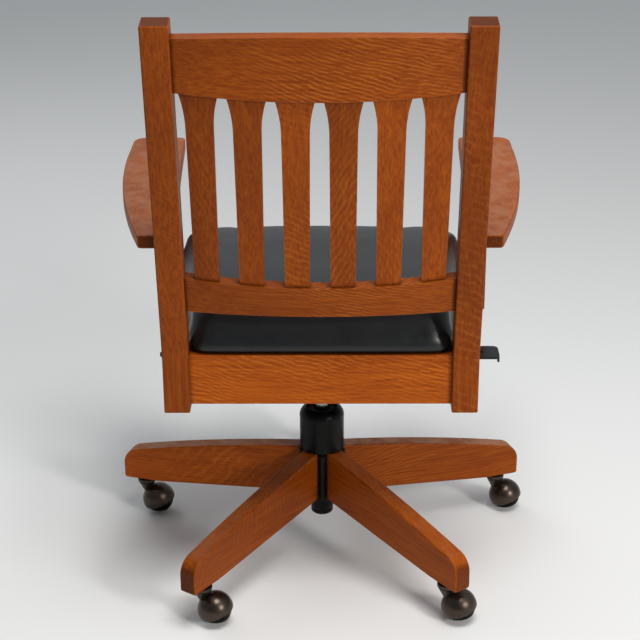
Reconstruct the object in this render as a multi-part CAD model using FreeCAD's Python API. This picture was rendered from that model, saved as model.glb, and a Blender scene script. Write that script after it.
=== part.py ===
import FreeCAD, Part
import math
import os

# Swivel office armchair: oak seat and back frame on a tilting control, a gas column and a
# five-legged oak base with ball casters. Millimetres, +Z up, origin on the floor under the
# column's axis. The sitter looks along -Y, so the sitter's left is +X.

# General fits and allowances
shaft_clearance = 0.05
running_gap = 0.3
cut_overrun = 2.0
wood_edge_round = 2.5
parallel_test_deg = 2.0

# Base: legs
leg_count = 5
base_turn_deg = 1.2
leg_tip_radius = 371.0
leg_thickness = 30.0
leg_hub_bottom = 94.0
leg_hub_top = 182.0
leg_arch_radius = 190.0
leg_arch_top = 160.0
leg_foot_height = 71.0
leg_foot_length = 62.0
leg_toe_round = 5.0
leg_corner_height = 100.0
leg_corner_round = 30.0
leg_corner_slope_deg = 13.5
leg_edge_round = 3.0

# Base: cast hub with one flat face for each leg
hub_apothem = 34.5
hub_wall = 6.0
hub_web = 11.0
hub_bottom = 92.0
hub_height = 87.0
hub_corner_round = 5.0

# Base: two bolts and threaded inserts in each leg
leg_bolt_radius = 4.0
leg_bolt_length = 34.0
leg_bolt_head_radius = 6.5
leg_bolt_head_height = 3.0
leg_bolt_spacing = 36.0
leg_insert_radius = 6.0
leg_insert_length = 22.0

# Column: outer tube, bush, cover
tube_radius = 25.0
tube_wall = 2.0
tube_foot_bottom = 54.0
tube_foot_radius = 19.0
tube_foot_height = 10.0
tube_foot_round = 2.5
tube_taper_top = 88.0
tube_floor = 8.0
tube_top = 250.0
bearing_pocket_radius = 14.0
bearing_pocket_depth = 9.0
bush_length = 68.0
bush_flange = 3.0
cover_radius = 38.0
cover_wall = 2.0
cover_straight = 56.0
cover_height = 76.0
cover_mouth_radius = 26.5

# Column: rod, thrust bearing, retaining clip
rod_radius = 5.0
rod_below_foot = 5.0
rod_shoulder_radius = 8.0
rod_shoulder_height = 4.0
piston_bottom = 191.0
piston_height = 10.0
washer_radius = 12.0
washer_thickness = 2.0
ball_radius = 2.0
ball_circle_radius = 8.7
ball_count = 10
ball_profile_steps = 6
cage_thickness = 1.2
clip_radius = 9.0
clip_thickness = 1.6

# Gas cylinder, at the height it stands at in the photograph
cylinder_radius = 14.0
cylinder_wall = 2.0
cylinder_bottom = 110.0
cylinder_end_thickness = 10.0
cylinder_top = 336.0
cylinder_chamber_top = 306.0
cylinder_taper_length = 40.0
cylinder_taper = 0.8
release_pin_radius = 2.5
release_pin_length = 22.0
release_travel = 2.6
release_pin_margin = 1.4

# Tilt control: housing
housing_half_width = 50.0
housing_wall = 3.0
housing_bottom = 296.0
housing_front = 125.0
housing_rear = 62.0
housing_wall_top = 352.0
housing_front_top = 328.0
housing_rear_top = 322.0
housing_shoulder_front = 100.0
housing_shoulder_rear = 6.0
housing_fold_round = 6.0
socket_radius = 19.0
socket_drop = 6.0
pivot_y = -45.0
pivot_z = 342.0
pivot_radius = 6.0
pivot_overhang = 3.5
pivot_clip_radius = 9.0
pivot_clip_thickness = 1.2

# Tilt control: plate under the seat
plate_bottom = 364.0
plate_thickness = 4.0
plate_half_width = 95.0
plate_half_length = 120.0
plate_corner_round = 12.0
ear_gap = 0.5
ear_thickness = 4.0
ear_front = 78.0
ear_foot_front = 62.0
ear_rear_at_lock = 4.0
ear_rear_at_lever = 14.0
ear_foot_step = 3.0
ear_bottom = 328.0
clevis_gap = 1.0
clevis_thickness = 4.0
clevis_half_width = 10.0
clevis_bottom = 333.0
bolt_spacing_x = 152.4
bolt_spacing_y = 203.2
plate_bolt_radius = 4.0
plate_bolt_head_radius = 7.0
plate_bolt_head_height = 5.5
plate_bolt_grip = 18.0

# Tilt control: spring, bolt, cup washer and hand knob
tension_y = -98.0
tension_bolt_radius = 5.0
tension_bolt_bottom = 220.0
tension_eye_radius = 8.5
tension_eye_half_width = 6.0
tension_pin_radius = 4.0
tension_pin_half_length = 14.0
tension_slot_play = 0.6
tension_slot_length = 1.6
spring_coil_radius = 12.5
spring_wire_radius = 2.5
spring_turns = 7
spring_wire_sides = 8
spring_steps_per_turn = 4
gap_samples_per_turn = 48
gap_samples_skipped = 30
spring_length = 53.0
cup_radius = 17.5
cup_thickness = 3.0
cup_rim_height = 4.0
cup_rim_wall = 1.5
knob_radius = 24.0
knob_height = 24.0
knob_flute_count = 8
knob_flute_radius = 7.0
knob_flute_depth = 3.0
knob_edge_round = 3.0

# Height lever
lever_z = 345.6
lever_rod_radius = 3.5
lever_pivot_x = 57.0
lever_pin_radius = 2.0
lever_pin_length = 19.0
lever_inner_end = 3.0
lever_lug_gap = 6.5
lever_lug_thickness = 3.0
lever_lug_margin = 4.0
lever_bend_start = 72.0
lever_bend_end = 92.0
lever_offset_y = 18.0
lever_rod_end = 272.0
lever_notch_half_width = 6.0
lever_notch_depth = 13.0
paddle_start = 258.0
paddle_end = 302.0
paddle_half_width = 25.0
paddle_bottom = 346.6
paddle_thickness = 3.4
paddle_corner_round = 9.0
paddle_lip_drop = 9.0
paddle_boss_radius = 5.6
paddle_boss_start = 250.0

# Tilt lock
lock_y = -18.0
lock_z = 345.5
lock_rod_radius = 4.0
lock_tip_x = 58.0
lock_rod_end = 262.0
lock_hole_margin = 0.4
lock_guide_x = 66.0
lock_guide_thickness = 12.0
lock_guide_half_width = 10.0
lock_guide_above = 8.0
lock_travel = 14.0
lock_collar_radius = 7.0
lock_collar_length = 4.0
grip_radius = 6.7
grip_start = 238.0
grip_end = 276.0
grip_nose = 6.0

# Back frame: rear posts
post_width = 40.4
post_depth = 36.0
post_outer_x = 243.2
post_rear_y = 238.5
post_bottom = 355.7
post_bend_z = 426.0
post_bend_radius = 250.0
post_rake_deg = 11.0
post_upper_length = 513.0

# Back frame: rails between the rear posts, measured up the raked part of the posts
rail_recess = 8.0
back_bow = 22.0
crest_thickness = 19.0
crest_below_post_tip = 21.0
crest_height_at_post = 79.7
crest_bottom_sag = 5.1
crest_top_rise = 10.4
lower_rail_thickness = 20.0
lower_rail_bottom_at_post = 55.0
lower_rail_bottom_at_middle = 58.8
lower_rail_top_at_post = 112.0
lower_rail_top_at_middle = 107.3
tenon_length = 12.0
tenon_thickness = 9.0
tenon_shoulder = 9.0

# Back frame: six slats
slat_count = 6
slat_pitch = 67.2
slat_thickness = 10.0
slat_recess = 4.0
slat_mortise = 8.0
slat_foot_half_width = 18.3
slat_waist_half_width = 20.1
slat_head_half_width = 27.8
slat_flare_length = 50.0
slat_flare_share = 0.38
slat_flare_height_share = 0.4

# Seat frame
seat_rail_top = 450.0
seat_rail_height = 82.0
seat_rail_thickness = 22.0
front_post_depth = 40.4
front_post_inner_x = 254.0
front_post_rear_y = -201.0
side_rail_inset_rear = 0.8
side_rail_inset_front = 0.8
bearer_half_width = 35.0
bearer_thickness = 20.0
bearer_housing = 6.0
bearer_y = 100.0
block_height = 38.0
block_along_rail = 62.0
block_along_side = 56.0
board_thickness = 12.0
board_gap = 1.0
screw_radius = 2.2
screw_head_radius = 4.4
screw_head_height = 2.4
screw_length = 44.0

# Arms
arm_thickness = 21.0
arm_top_at_column = 657.5
arm_rise_deg = 1.8
arm_rear_y = 247.4
arm_front_y = -248.0
arm_inner_rear_x = 216.0
arm_inner_front_x = 241.3
arm_outer_rear_x = 270.7
arm_outer_mid_x = 311.7
arm_outer_mid_y = 74.7
arm_outer_front_x = 330.5
arm_outer_straight_y = -185.0
arm_outer_corner_round = 24.0
arm_inner_corner_round = 10.0
arm_rear_corner_round = 7.0
arm_edge_round = 3.5
arm_tenon_length = 12.0
arm_tenon_width = 20.0
arm_inner_mid_x = 230.0
arm_tenon_thickness = 10.0
arm_rear_tenon_reach = 10.0

# Cushion
cushion_rear_y = 226.0
cushion_front_y = -232.0
cushion_rear_half_width = 195.6
cushion_front_half_width = 249.0
cushion_height = 81.0
cushion_corner_round = 10.0
cushion_cover_thickness = 1.6
cushion_inset_reach = 150.0

# Shares of the cushion's height, and of its inset reach, from the seam at the seat up to the crown
cushion_height_shares = (0.0, 0.1, 0.25, 0.45, 0.62, 0.76, 0.88, 0.96, 1.0)
cushion_inset_shares = (0.0, -0.012, -0.022, -0.027, -0.024, -0.004, 0.075, 0.31, 1.0)
cushion_corner_growth_share = 0.25

# Ball casters
caster_inset = 37.0
caster_trail = 20.0
caster_heading_deg = 180.0
caster_wheel_radius = 26.3
caster_wheel_half_width = 13.0
caster_axle_tilt_deg = 20.0
caster_axle_radius = 3.0
caster_bore_radius = 3.05
caster_hood_radius = 29.0
caster_hood_wall = 2.0
caster_hood_skirt = 6.0
caster_hood_lean_deg = 20.0
caster_boss_radius = 6.0
caster_side_gap = 0.6
caster_dish_depth = 4.0
caster_dish_radius = 17.0
caster_hub_radius = 7.0
caster_neck_gap = 0.8
caster_collar_radius = 16.2
caster_collar_height = 5.0
caster_groove_radius = 13.6
caster_groove_height = 1.6
caster_neck_radius = 15.4
caster_neck_foot = 40.0
caster_neck_foot_radius = 4.0
stem_radius = 5.5
stem_length = 41.0
stem_tip_round = 1.5
sleeve_wall = 1.4
sleeve_length = 42.0
sleeve_flange_radius = 10.0
sleeve_flange_height = 1.6

V = FreeCAD.Vector
ORIGIN = V(0, 0, 0)
AXIS_X = V(1, 0, 0)
AXIS_Y = V(0, 1, 0)
AXIS_Z = V(0, 0, 1)
full_turn_deg = 360.0
leg_pitch_deg = full_turn_deg / leg_count
rake = math.radians(post_rake_deg)

os.makedirs("parts", exist_ok=True)


# Helpers

def box(x0, x1, y0, y1, z0, z1):
    low = V(min(x0, x1), min(y0, y1), min(z0, z1))
    return Part.makeBox(abs(x1 - x0), abs(y1 - y0), abs(z1 - z0), low)


def rod(radius, start, end):
    return Part.makeCylinder(radius, (end - start).Length, start, end - start)


def outline(start, *steps):
    """Closed wire; a step is a point, or a pair (point on the arc, end of the arc)."""
    edges = []
    here = start
    for step in steps + (start,):
        if isinstance(step, tuple):
            edges.append(Part.Arc(here, step[0], step[1]).toShape())
            here = step[1]
        elif (step - here).Length > 0:
            edges.append(Part.LineSegment(here, step).toShape())
            here = step
    return Part.Wire(edges)


def extruded(wire, direction):
    return Part.Face(wire).extrude(direction)


def prism(points, z0, z1):
    corners = [V(x, y, z0) for x, y in points]
    return extruded(outline(*corners), V(0, 0, z1 - z0))


def revolved(points):
    """Solid of revolution about Z from (radius, height) points."""
    corners = [V(r, 0, z) for r, z in points]
    return Part.Face(outline(*corners)).revolve(ORIGIN, AXIS_Z, full_turn_deg)


def softened(shape, radius, wanted):
    edges = [edge for edge in shape.Edges if wanted(edge)]
    return shape.makeFillet(radius, edges)


def ends_of(edge):
    return [vertex.Point for vertex in edge.Vertexes]


def along(axis):
    """Test for straight edges that run along an axis."""
    def test(edge):
        points = ends_of(edge)
        if len(points) != 2:
            return False
        step = points[1] - points[0]
        return abs(step.dot(axis)) > step.Length * math.cos(math.radians(parallel_test_deg))
    return test


def mirrored(shape):
    return shape.mirror(ORIGIN, AXIS_X)


def turned(shape, degrees, axis=AXIS_Z, centre=ORIGIN):
    copy = shape.copy()
    copy.rotate(centre, axis, degrees)
    return copy


def moved(shape, offset):
    copy = shape.copy()
    copy.translate(offset)
    return copy


def group(shapes):
    return Part.makeCompound(shapes)


def save(name, shape):
    shape.exportStep("parts/" + name + ".step")


# Base

stem_radius_on_base = leg_tip_radius - caster_inset
caster_neck_top = leg_foot_height - sleeve_flange_height - caster_neck_gap


def leg_angle(index):
    return 270.0 + base_turn_deg + index * leg_pitch_deg


def leg_blank():
    """Side view of one leg, s outwards along X and z up, extruded to its thickness."""
    slope = math.radians(leg_corner_slope_deg)
    half_slope = math.radians(90.0 - leg_corner_slope_deg) / 2
    y = -leg_thickness / 2
    corner_s = leg_tip_radius - leg_corner_round
    shoulder = V(corner_s + leg_corner_round * math.sin(slope), y,
                 leg_corner_height + leg_corner_round * math.cos(slope))
    corner_mid = V(corner_s + leg_corner_round * math.cos(half_slope), y,
                   leg_corner_height + leg_corner_round * math.sin(half_slope))
    toe_s = leg_tip_radius - leg_toe_round
    toe_z = leg_foot_height + leg_toe_round
    diagonal = math.radians(45.0)
    toe_mid = V(toe_s + leg_toe_round * math.cos(diagonal), y, toe_z - leg_toe_round * math.sin(diagonal))
    wire = outline(V(hub_apothem, y, leg_hub_bottom),
                   V(leg_tip_radius - leg_foot_length, y, leg_foot_height),
                   V(toe_s, y, leg_foot_height),
                   (toe_mid, V(leg_tip_radius, y, toe_z)),
                   V(leg_tip_radius, y, leg_corner_height),
                   (corner_mid, shoulder),
                   (V(leg_arch_radius, y, leg_arch_top), V(hub_apothem, y, leg_hub_top)))
    blank = extruded(wire, V(0, leg_thickness, 0))

    def on_side(edge):
        points = ends_of(edge)
        level = all(abs(abs(p.y) - leg_thickness / 2) < shaft_clearance for p in points)
        same_side = abs(points[0].y - points[-1].y) < shaft_clearance
        at_hub = all(abs(p.x - hub_apothem) < shaft_clearance for p in points)
        return level and same_side and not at_hub
    return softened(blank, leg_edge_round, on_side)


def leg_bolt_heights():
    middle = hub_bottom + hub_height / 2
    return (middle - leg_bolt_spacing / 2, middle + leg_bolt_spacing / 2)


def leg():
    shape = leg_blank()
    for z in leg_bolt_heights():
        shape = shape.cut(rod(leg_insert_radius, V(hub_apothem - cut_overrun, 0, z),
                              V(hub_apothem + leg_insert_length, 0, z)))
        shape = shape.cut(rod(leg_bolt_radius, V(hub_apothem, 0, z),
                              V(hub_apothem + leg_bolt_length, 0, z)))
    socket_top = leg_foot_height + sleeve_length
    return shape.cut(rod(stem_radius + sleeve_wall, V(stem_radius_on_base, 0, leg_foot_height - cut_overrun),
                         V(stem_radius_on_base, 0, socket_top)))


def leg_fixings():
    """Button-head bolts from inside the hub into threaded inserts in the end of a leg."""
    solids = []
    inner_face = hub_apothem - hub_wall
    for z in leg_bolt_heights():
        head = rod(leg_bolt_head_radius, V(inner_face - leg_bolt_head_height, 0, z), V(inner_face, 0, z))
        shank_end = hub_apothem + leg_bolt_length - cut_overrun
        shank = rod(leg_bolt_radius, V(inner_face, 0, z), V(shank_end, 0, z))
        solids.append(head.fuse(shank).removeSplitter())
        sleeve = rod(leg_insert_radius, V(hub_apothem, 0, z), V(hub_apothem + leg_insert_length, 0, z))
        solids.append(sleeve.cut(rod(leg_bolt_radius, V(hub_apothem - cut_overrun, 0, z),
                                     V(hub_apothem + leg_insert_length + cut_overrun, 0, z))))
    return solids


def pentagon(apothem, z0, z1):
    corner = apothem / math.cos(math.radians(leg_pitch_deg / 2))
    points = []
    for index in range(leg_count):
        angle = math.radians(leg_angle(index) + leg_pitch_deg / 2)
        points.append((corner * math.cos(angle), corner * math.sin(angle)))
    return prism(points, z0, z1)


def base_hub():
    top = hub_bottom + hub_height
    shape = softened(pentagon(hub_apothem, hub_bottom, top), hub_corner_round, along(AXIS_Z))
    shape = shape.cut(pentagon(hub_apothem - hub_wall, hub_bottom + hub_web, top - hub_web))
    shape = shape.cut(rod(tube_radius, V(0, 0, hub_bottom - cut_overrun), V(0, 0, top + cut_overrun)))
    for index in range(leg_count):
        for z in leg_bolt_heights():
            hole = rod(leg_bolt_radius, V(hub_apothem - hub_wall - cut_overrun, 0, z),
                       V(hub_apothem + cut_overrun, 0, z))
            shape = shape.cut(turned(hole, leg_angle(index)))
    return shape


# Column

tube_inner_radius = tube_radius - tube_wall
tube_floor_top = tube_foot_bottom + tube_floor
rod_hole_radius = rod_radius + shaft_clearance
bearing_top = tube_floor_top + 2 * washer_thickness + 2 * ball_radius


def column_tube():
    foot_top = tube_foot_bottom + tube_foot_height
    pocket_top = tube_floor_top + bearing_pocket_depth
    wire = [(rod_hole_radius, tube_foot_bottom),
            (tube_foot_radius - tube_foot_round, tube_foot_bottom),
            (tube_foot_radius, tube_foot_bottom + tube_foot_round),
            (tube_foot_radius, foot_top),
            (tube_radius, tube_taper_top),
            (tube_radius, tube_top),
            (tube_inner_radius, tube_top),
            (tube_inner_radius, tube_taper_top + tube_wall),
            (bearing_pocket_radius, pocket_top),
            (bearing_pocket_radius, tube_floor_top),
            (rod_hole_radius, tube_floor_top)]
    return revolved(wire)


def guide_bush():
    inner = cylinder_radius + shaft_clearance
    return revolved([(inner, tube_top - bush_length), (tube_inner_radius, tube_top - bush_length),
                     (tube_inner_radius, tube_top), (tube_radius, tube_top),
                     (tube_radius, tube_top + bush_flange), (inner, tube_top + bush_flange)])


def column_cover():
    """Bell with a rounded shoulder, standing on the tops of the legs."""
    bottom = leg_hub_top
    shoulder = bottom + cover_straight
    top = bottom + cover_height
    lean = math.radians(45.0)
    rise = cover_height - cover_straight
    reach = cover_radius - cover_mouth_radius

    def at(radius, height):
        return V(radius, 0, height)
    outer_mid = at(cover_mouth_radius + reach * math.cos(lean), shoulder + rise * math.sin(lean))
    inner_mid = at(cover_mouth_radius + (reach - cover_wall) * math.cos(lean),
                   shoulder + (rise - cover_wall) * math.sin(lean))
    wire = outline(at(cover_radius, bottom), at(cover_radius, shoulder),
                   (outer_mid, at(cover_mouth_radius, top)), at(cover_mouth_radius, top - cover_wall),
                   (inner_mid, at(cover_radius - cover_wall, shoulder)),
                   at(cover_radius - cover_wall, bottom))
    return Part.Face(wire).revolve(ORIGIN, AXIS_Z, full_turn_deg)


def piston_rod():
    shoulder_top = bearing_top + rod_shoulder_height
    head_radius = cylinder_radius - cylinder_wall - shaft_clearance
    piston_top = piston_bottom + piston_height
    return revolved([(0, tube_foot_bottom - rod_below_foot), (rod_radius, tube_foot_bottom - rod_below_foot),
                     (rod_radius, bearing_top), (rod_shoulder_radius, bearing_top),
                     (rod_shoulder_radius, shoulder_top), (rod_radius, shoulder_top),
                     (rod_radius, piston_bottom), (head_radius, piston_bottom),
                     (head_radius, piston_top), (0, piston_top)])


def ring(inner, outer, z0, z1):
    return revolved([(inner, z0), (outer, z0), (outer, z1), (inner, z1)])


def bearing_ball(centre):
    """Ball with flat bands, its poles on the races."""
    points = []
    for step in range(ball_profile_steps + 1):
        angle = math.pi * (step / ball_profile_steps - 0.5)
        points.append((ball_radius * abs(math.cos(angle)), ball_radius * math.sin(angle)))
    points[0] = (0, -ball_radius)
    points[-1] = (0, ball_radius)
    return moved(revolved(points), centre)


def swivel_bearing():
    """Two races, the balls between them, their cage, and the clip under the tube's foot."""
    ball_z = tube_floor_top + washer_thickness + ball_radius
    lower = ring(rod_radius, washer_radius, tube_floor_top, tube_floor_top + washer_thickness)
    upper = ring(rod_radius, washer_radius, bearing_top - washer_thickness, bearing_top)
    cage = ring(rod_hole_radius, washer_radius, ball_z - cage_thickness / 2, ball_z + cage_thickness / 2)
    balls = []
    for index in range(ball_count):
        angle = math.radians(index * full_turn_deg / ball_count)
        centre = V(ball_circle_radius * math.cos(angle), ball_circle_radius * math.sin(angle), ball_z)
        balls.append(bearing_ball(centre))
        cage = cage.cut(rod(ball_radius, centre - V(0, 0, ball_radius), centre + V(0, 0, ball_radius)))
    clip_top = tube_foot_bottom - running_gap
    clip = ring(rod_radius, clip_radius, clip_top - clip_thickness, clip_top)
    return group([lower, upper, cage, clip] + balls)


# Gas cylinder and release pin

release_pin_top = lever_z - lever_rod_radius - running_gap


def gas_cylinder():
    """Steel cylinder with a sliding rod seal at its foot and a taper at its head."""
    taper_bottom = cylinder_top - cylinder_taper_length
    tip = cylinder_radius - cylinder_taper
    bore = cylinder_radius - cylinder_wall
    body = revolved([(rod_hole_radius, cylinder_bottom), (cylinder_radius, cylinder_bottom),
                     (cylinder_radius, taper_bottom), (tip, cylinder_top), (0, cylinder_top),
                     (0, cylinder_chamber_top), (bore, cylinder_chamber_top),
                     (bore, cylinder_bottom + cylinder_end_thickness),
                     (rod_hole_radius, cylinder_bottom + cylinder_end_thickness)])
    seat = release_pin_top - release_pin_length - release_travel - release_pin_margin
    return body.cut(rod(release_pin_radius + shaft_clearance, V(0, 0, seat),
                        V(0, 0, cylinder_top + cut_overrun)))


def release_pin():
    return rod(release_pin_radius, V(0, 0, release_pin_top - release_pin_length), V(0, 0, release_pin_top))


# Tilt control

def side_prism(points, x0, x1):
    """Side view of (y, z) points, extruded along X."""
    corners = [V(x0, y, z) for y, z in points]
    return extruded(outline(*corners), V(x1 - x0, 0, 0))


def lock_guide():
    """Bracket outside the ear that carries the lock rod."""
    outer = lock_guide_x + lock_guide_thickness
    y0 = lock_y - lock_guide_half_width
    y1 = lock_y + lock_guide_half_width
    foot = box(housing_half_width - housing_wall, outer, y0, y1,
               housing_bottom, housing_bottom + housing_wall)
    return foot.fuse(box(lock_guide_x, outer, y0, y1, housing_bottom, lock_z + lock_guide_above))


def lever_lugs():
    inner_x = -housing_half_width + housing_wall
    outer_x = -lever_pivot_x - lever_lug_margin - lever_pin_radius
    low = lever_z - lever_lug_margin - lever_pin_radius
    high = lever_z + lever_lug_margin
    near = lever_lug_gap
    far = lever_lug_gap + lever_lug_thickness
    return box(outer_x, inner_x, near, far, low, high).fuse(box(outer_x, inner_x, -far, -near, low, high))


def mechanism_housing():
    """Pressed tray, open on top, with the tapered socket for the gas cylinder."""
    half = housing_half_width
    tray = side_prism([(-housing_front, housing_bottom), (-housing_front, housing_front_top),
                       (-housing_shoulder_front, housing_wall_top),
                       (-housing_shoulder_rear, housing_wall_top),
                       (housing_rear, housing_rear_top), (housing_rear, housing_bottom)], -half, half)

    def at_fold(edge):
        points = ends_of(edge)
        low = all(abs(p.z - housing_bottom) < shaft_clearance for p in points)
        return low and along(AXIS_Y)(edge)
    tray = softened(tray, housing_fold_round, at_fold)
    shape = tray.cut(box(-half + housing_wall, half - housing_wall, -housing_front + housing_wall,
                         housing_rear - housing_wall, housing_bottom + housing_wall,
                         housing_wall_top + cut_overrun))
    shape = shape.fuse(lever_lugs()).fuse(lock_guide())
    shape = shape.fuse(rod(socket_radius, V(0, 0, housing_bottom - socket_drop), V(0, 0, cylinder_top)))
    taper_bottom = cylinder_top - cylinder_taper_length
    tip = cylinder_radius - cylinder_taper
    bore_bottom = housing_bottom - socket_drop - cut_overrun
    shape = shape.cut(revolved([(0, bore_bottom), (cylinder_radius, bore_bottom),
                                (cylinder_radius, taper_bottom),
                                (tip, cylinder_top), (tip, cylinder_top + cut_overrun),
                                (0, cylinder_top + cut_overrun)]))
    reach = half + cut_overrun
    shape = shape.cut(rod(pivot_radius, V(-reach, pivot_y, pivot_z), V(reach, pivot_y, pivot_z)))
    shape = shape.cut(box(-reach, -half + housing_wall + cut_overrun,
                          -lever_notch_half_width, lever_notch_half_width,
                          housing_wall_top - lever_notch_depth, housing_wall_top + cut_overrun))
    pin_half = lever_lug_gap + lever_lug_thickness + cut_overrun
    shape = shape.cut(rod(lever_pin_radius + shaft_clearance, V(-lever_pivot_x, -pin_half, lever_z),
                          V(-lever_pivot_x, pin_half, lever_z)))
    shape = shape.cut(rod(lock_rod_radius + lock_hole_margin, V(0, lock_y, lock_z), V(reach, lock_y, lock_z)))
    guide_end = lock_guide_x + lock_guide_thickness + cut_overrun
    shape = shape.cut(rod(lock_rod_radius + shaft_clearance, V(lock_guide_x - cut_overrun, lock_y, lock_z),
                          V(guide_end, lock_y, lock_z)))
    bolt_hole = rod(tension_bolt_radius + 2 * running_gap, V(0, tension_y, housing_bottom - cut_overrun),
                    V(0, tension_y, housing_bottom + housing_wall + cut_overrun))
    return shape.cut(bolt_hole).removeSplitter()


ear_inner_x = housing_half_width + ear_gap
ear_outer_x = ear_inner_x + ear_thickness


def tilt_pivot_pin():
    """Cross pin with a spring clip at each end."""
    end = ear_outer_x + pivot_overhang
    pin = rod(pivot_radius, V(-end, pivot_y, pivot_z), V(end, pivot_y, pivot_z))
    near = ear_outer_x + running_gap
    far = near + pivot_clip_thickness
    clip = rod(pivot_clip_radius, V(near, pivot_y, pivot_z), V(far, pivot_y, pivot_z)).cut(pin)
    return group([pin, clip, mirrored(clip)])


def plate_bolt_places():
    return [(sx * bolt_spacing_x / 2, sy * bolt_spacing_y / 2) for sx in (-1, 1) for sy in (-1, 1)]


def tilt_top_plate():
    """Plate under the seat, with an ear on each side and a clevis for the tension bolt."""
    top = plate_bottom + plate_thickness
    shape = box(-plate_half_width, plate_half_width, -plate_half_length, plate_half_length, plate_bottom, top)
    shape = softened(shape, plate_corner_round, along(AXIS_Z))
    for x, y in plate_bolt_places():
        shape = shape.cut(rod(plate_bolt_radius, V(x, y, plate_bottom - cut_overrun),
                              V(x, y, top + cut_overrun)))
    for side, rear in ((-1, ear_rear_at_lever), (1, ear_rear_at_lock)):
        ear = side_prism([(-ear_front, plate_bottom), (-ear_foot_front, ear_bottom),
                          (-rear - ear_foot_step, ear_bottom), (-rear, plate_bottom)],
                         side * ear_inner_x, side * ear_outer_x)
        shape = shape.fuse(ear)
    clevis_inner = tension_eye_half_width + clevis_gap
    clevis_outer = clevis_inner + clevis_thickness
    for side in (-1, 1):
        shape = shape.fuse(box(side * clevis_inner, side * clevis_outer, tension_y - clevis_half_width,
                               tension_y + clevis_half_width, clevis_bottom, plate_bottom))
    reach = ear_outer_x + cut_overrun
    shape = shape.cut(rod(pivot_radius + shaft_clearance, V(-reach, pivot_y, pivot_z),
                          V(reach, pivot_y, pivot_z)))
    shape = shape.cut(rod(lock_rod_radius + lock_hole_margin, V(0, lock_y, lock_z), V(reach, lock_y, lock_z)))
    slot_radius = tension_pin_radius + tension_slot_play
    for offset in (0, tension_slot_length):
        shape = shape.cut(rod(slot_radius, V(-clevis_outer - cut_overrun, tension_y - offset, pivot_z),
                              V(clevis_outer + cut_overrun, tension_y - offset, pivot_z)))
    shape = shape.cut(box(-clevis_outer - cut_overrun, clevis_outer + cut_overrun,
                          tension_y - tension_slot_length, tension_y,
                          pivot_z - slot_radius, pivot_z + slot_radius))
    return shape.removeSplitter()


def plate_bolts():
    solids = []
    for x, y in plate_bolt_places():
        head = rod(plate_bolt_head_radius, V(x, y, plate_bottom - plate_bolt_head_height),
                   V(x, y, plate_bottom))
        shank = rod(plate_bolt_radius, V(x, y, plate_bottom), V(x, y, plate_bottom + plate_bolt_grip))
        solids.append(head.fuse(shank).removeSplitter())
    return solids


# Tension bolt, spring and knob

cup_bottom = housing_bottom - spring_length - cup_thickness


def tension_bolt():
    """Eye bolt on its cross pin, with the cup that carries the spring."""
    shank = rod(tension_bolt_radius, V(0, tension_y, tension_bolt_bottom), V(0, tension_y, pivot_z))
    eye = rod(tension_eye_radius, V(-tension_eye_half_width, tension_y, pivot_z),
              V(tension_eye_half_width, tension_y, pivot_z))
    pin = rod(tension_pin_radius, V(-tension_pin_half_length, tension_y, pivot_z),
              V(tension_pin_half_length, tension_y, pivot_z))
    rim_inner = cup_radius - cup_rim_wall
    cup = revolved([(tension_bolt_radius, cup_bottom), (cup_radius, cup_bottom),
                    (cup_radius, cup_bottom + cup_thickness + cup_rim_height),
                    (rim_inner, cup_bottom + cup_thickness + cup_rim_height),
                    (rim_inner, cup_bottom + cup_thickness),
                    (tension_bolt_radius, cup_bottom + cup_thickness)])
    return group([shank.fuse(eye).fuse(pin).removeSplitter(), moved(cup, V(0, tension_y, 0))])


def tension_knob():
    """Fluted hand knob threaded on the bolt under the cup."""
    top = cup_bottom
    bottom = top - knob_height
    edge = knob_edge_round
    shape = revolved([(0, bottom), (knob_radius - edge, bottom), (knob_radius, bottom + edge),
                      (knob_radius, top - edge), (knob_radius - edge, top), (0, top)])
    flute_centre = knob_radius - knob_flute_depth + knob_flute_radius
    flute = rod(knob_flute_radius, V(flute_centre, 0, bottom - cut_overrun),
                V(flute_centre, 0, top + cut_overrun))
    for index in range(knob_flute_count):
        shape = shape.cut(turned(flute, index * full_turn_deg / knob_flute_count))
    shape = moved(shape, V(0, tension_y, 0))
    return shape.cut(rod(tension_bolt_radius + shaft_clearance,
                         V(0, tension_y, tension_bolt_bottom - running_gap),
                         V(0, tension_y, top + cut_overrun)))


def helix_point(turn, radius, pitch):
    angle = 2 * math.pi * turn
    return V(radius * math.cos(angle), radius * math.sin(angle), pitch * turn)


def helix_direction(turn, radius, pitch):
    angle = 2 * math.pi * turn
    step = V(-2 * math.pi * radius * math.sin(angle), 2 * math.pi * radius * math.cos(angle), pitch)
    return step.normalize()


def tangent_arc(start, control, end):
    """Arc from start to end whose end tangents meet at control."""
    middle = (start + end) * 0.5
    half_chord = (end - start).Length / 2
    lean = math.atan2((control - middle).Length, half_chord)
    bulge = half_chord * math.tan(lean / 2)
    top = middle + (control - middle).normalize() * bulge
    return Part.Arc(start, top, end).toShape()


def biarc(p0, t0, p1, t1):
    gap = p1 - p0
    both = t0 + t1
    turn = 2 * (1 - t0.dot(t1))
    reach = (-gap.dot(both) + math.sqrt(gap.dot(both) ** 2 + turn * gap.dot(gap))) / turn
    q0 = p0 + t0 * reach
    q1 = p1 - t1 * reach
    joint = (q0 + q1) * 0.5
    return [tangent_arc(p0, q0, joint), tangent_arc(joint, q1, p1)]


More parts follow.
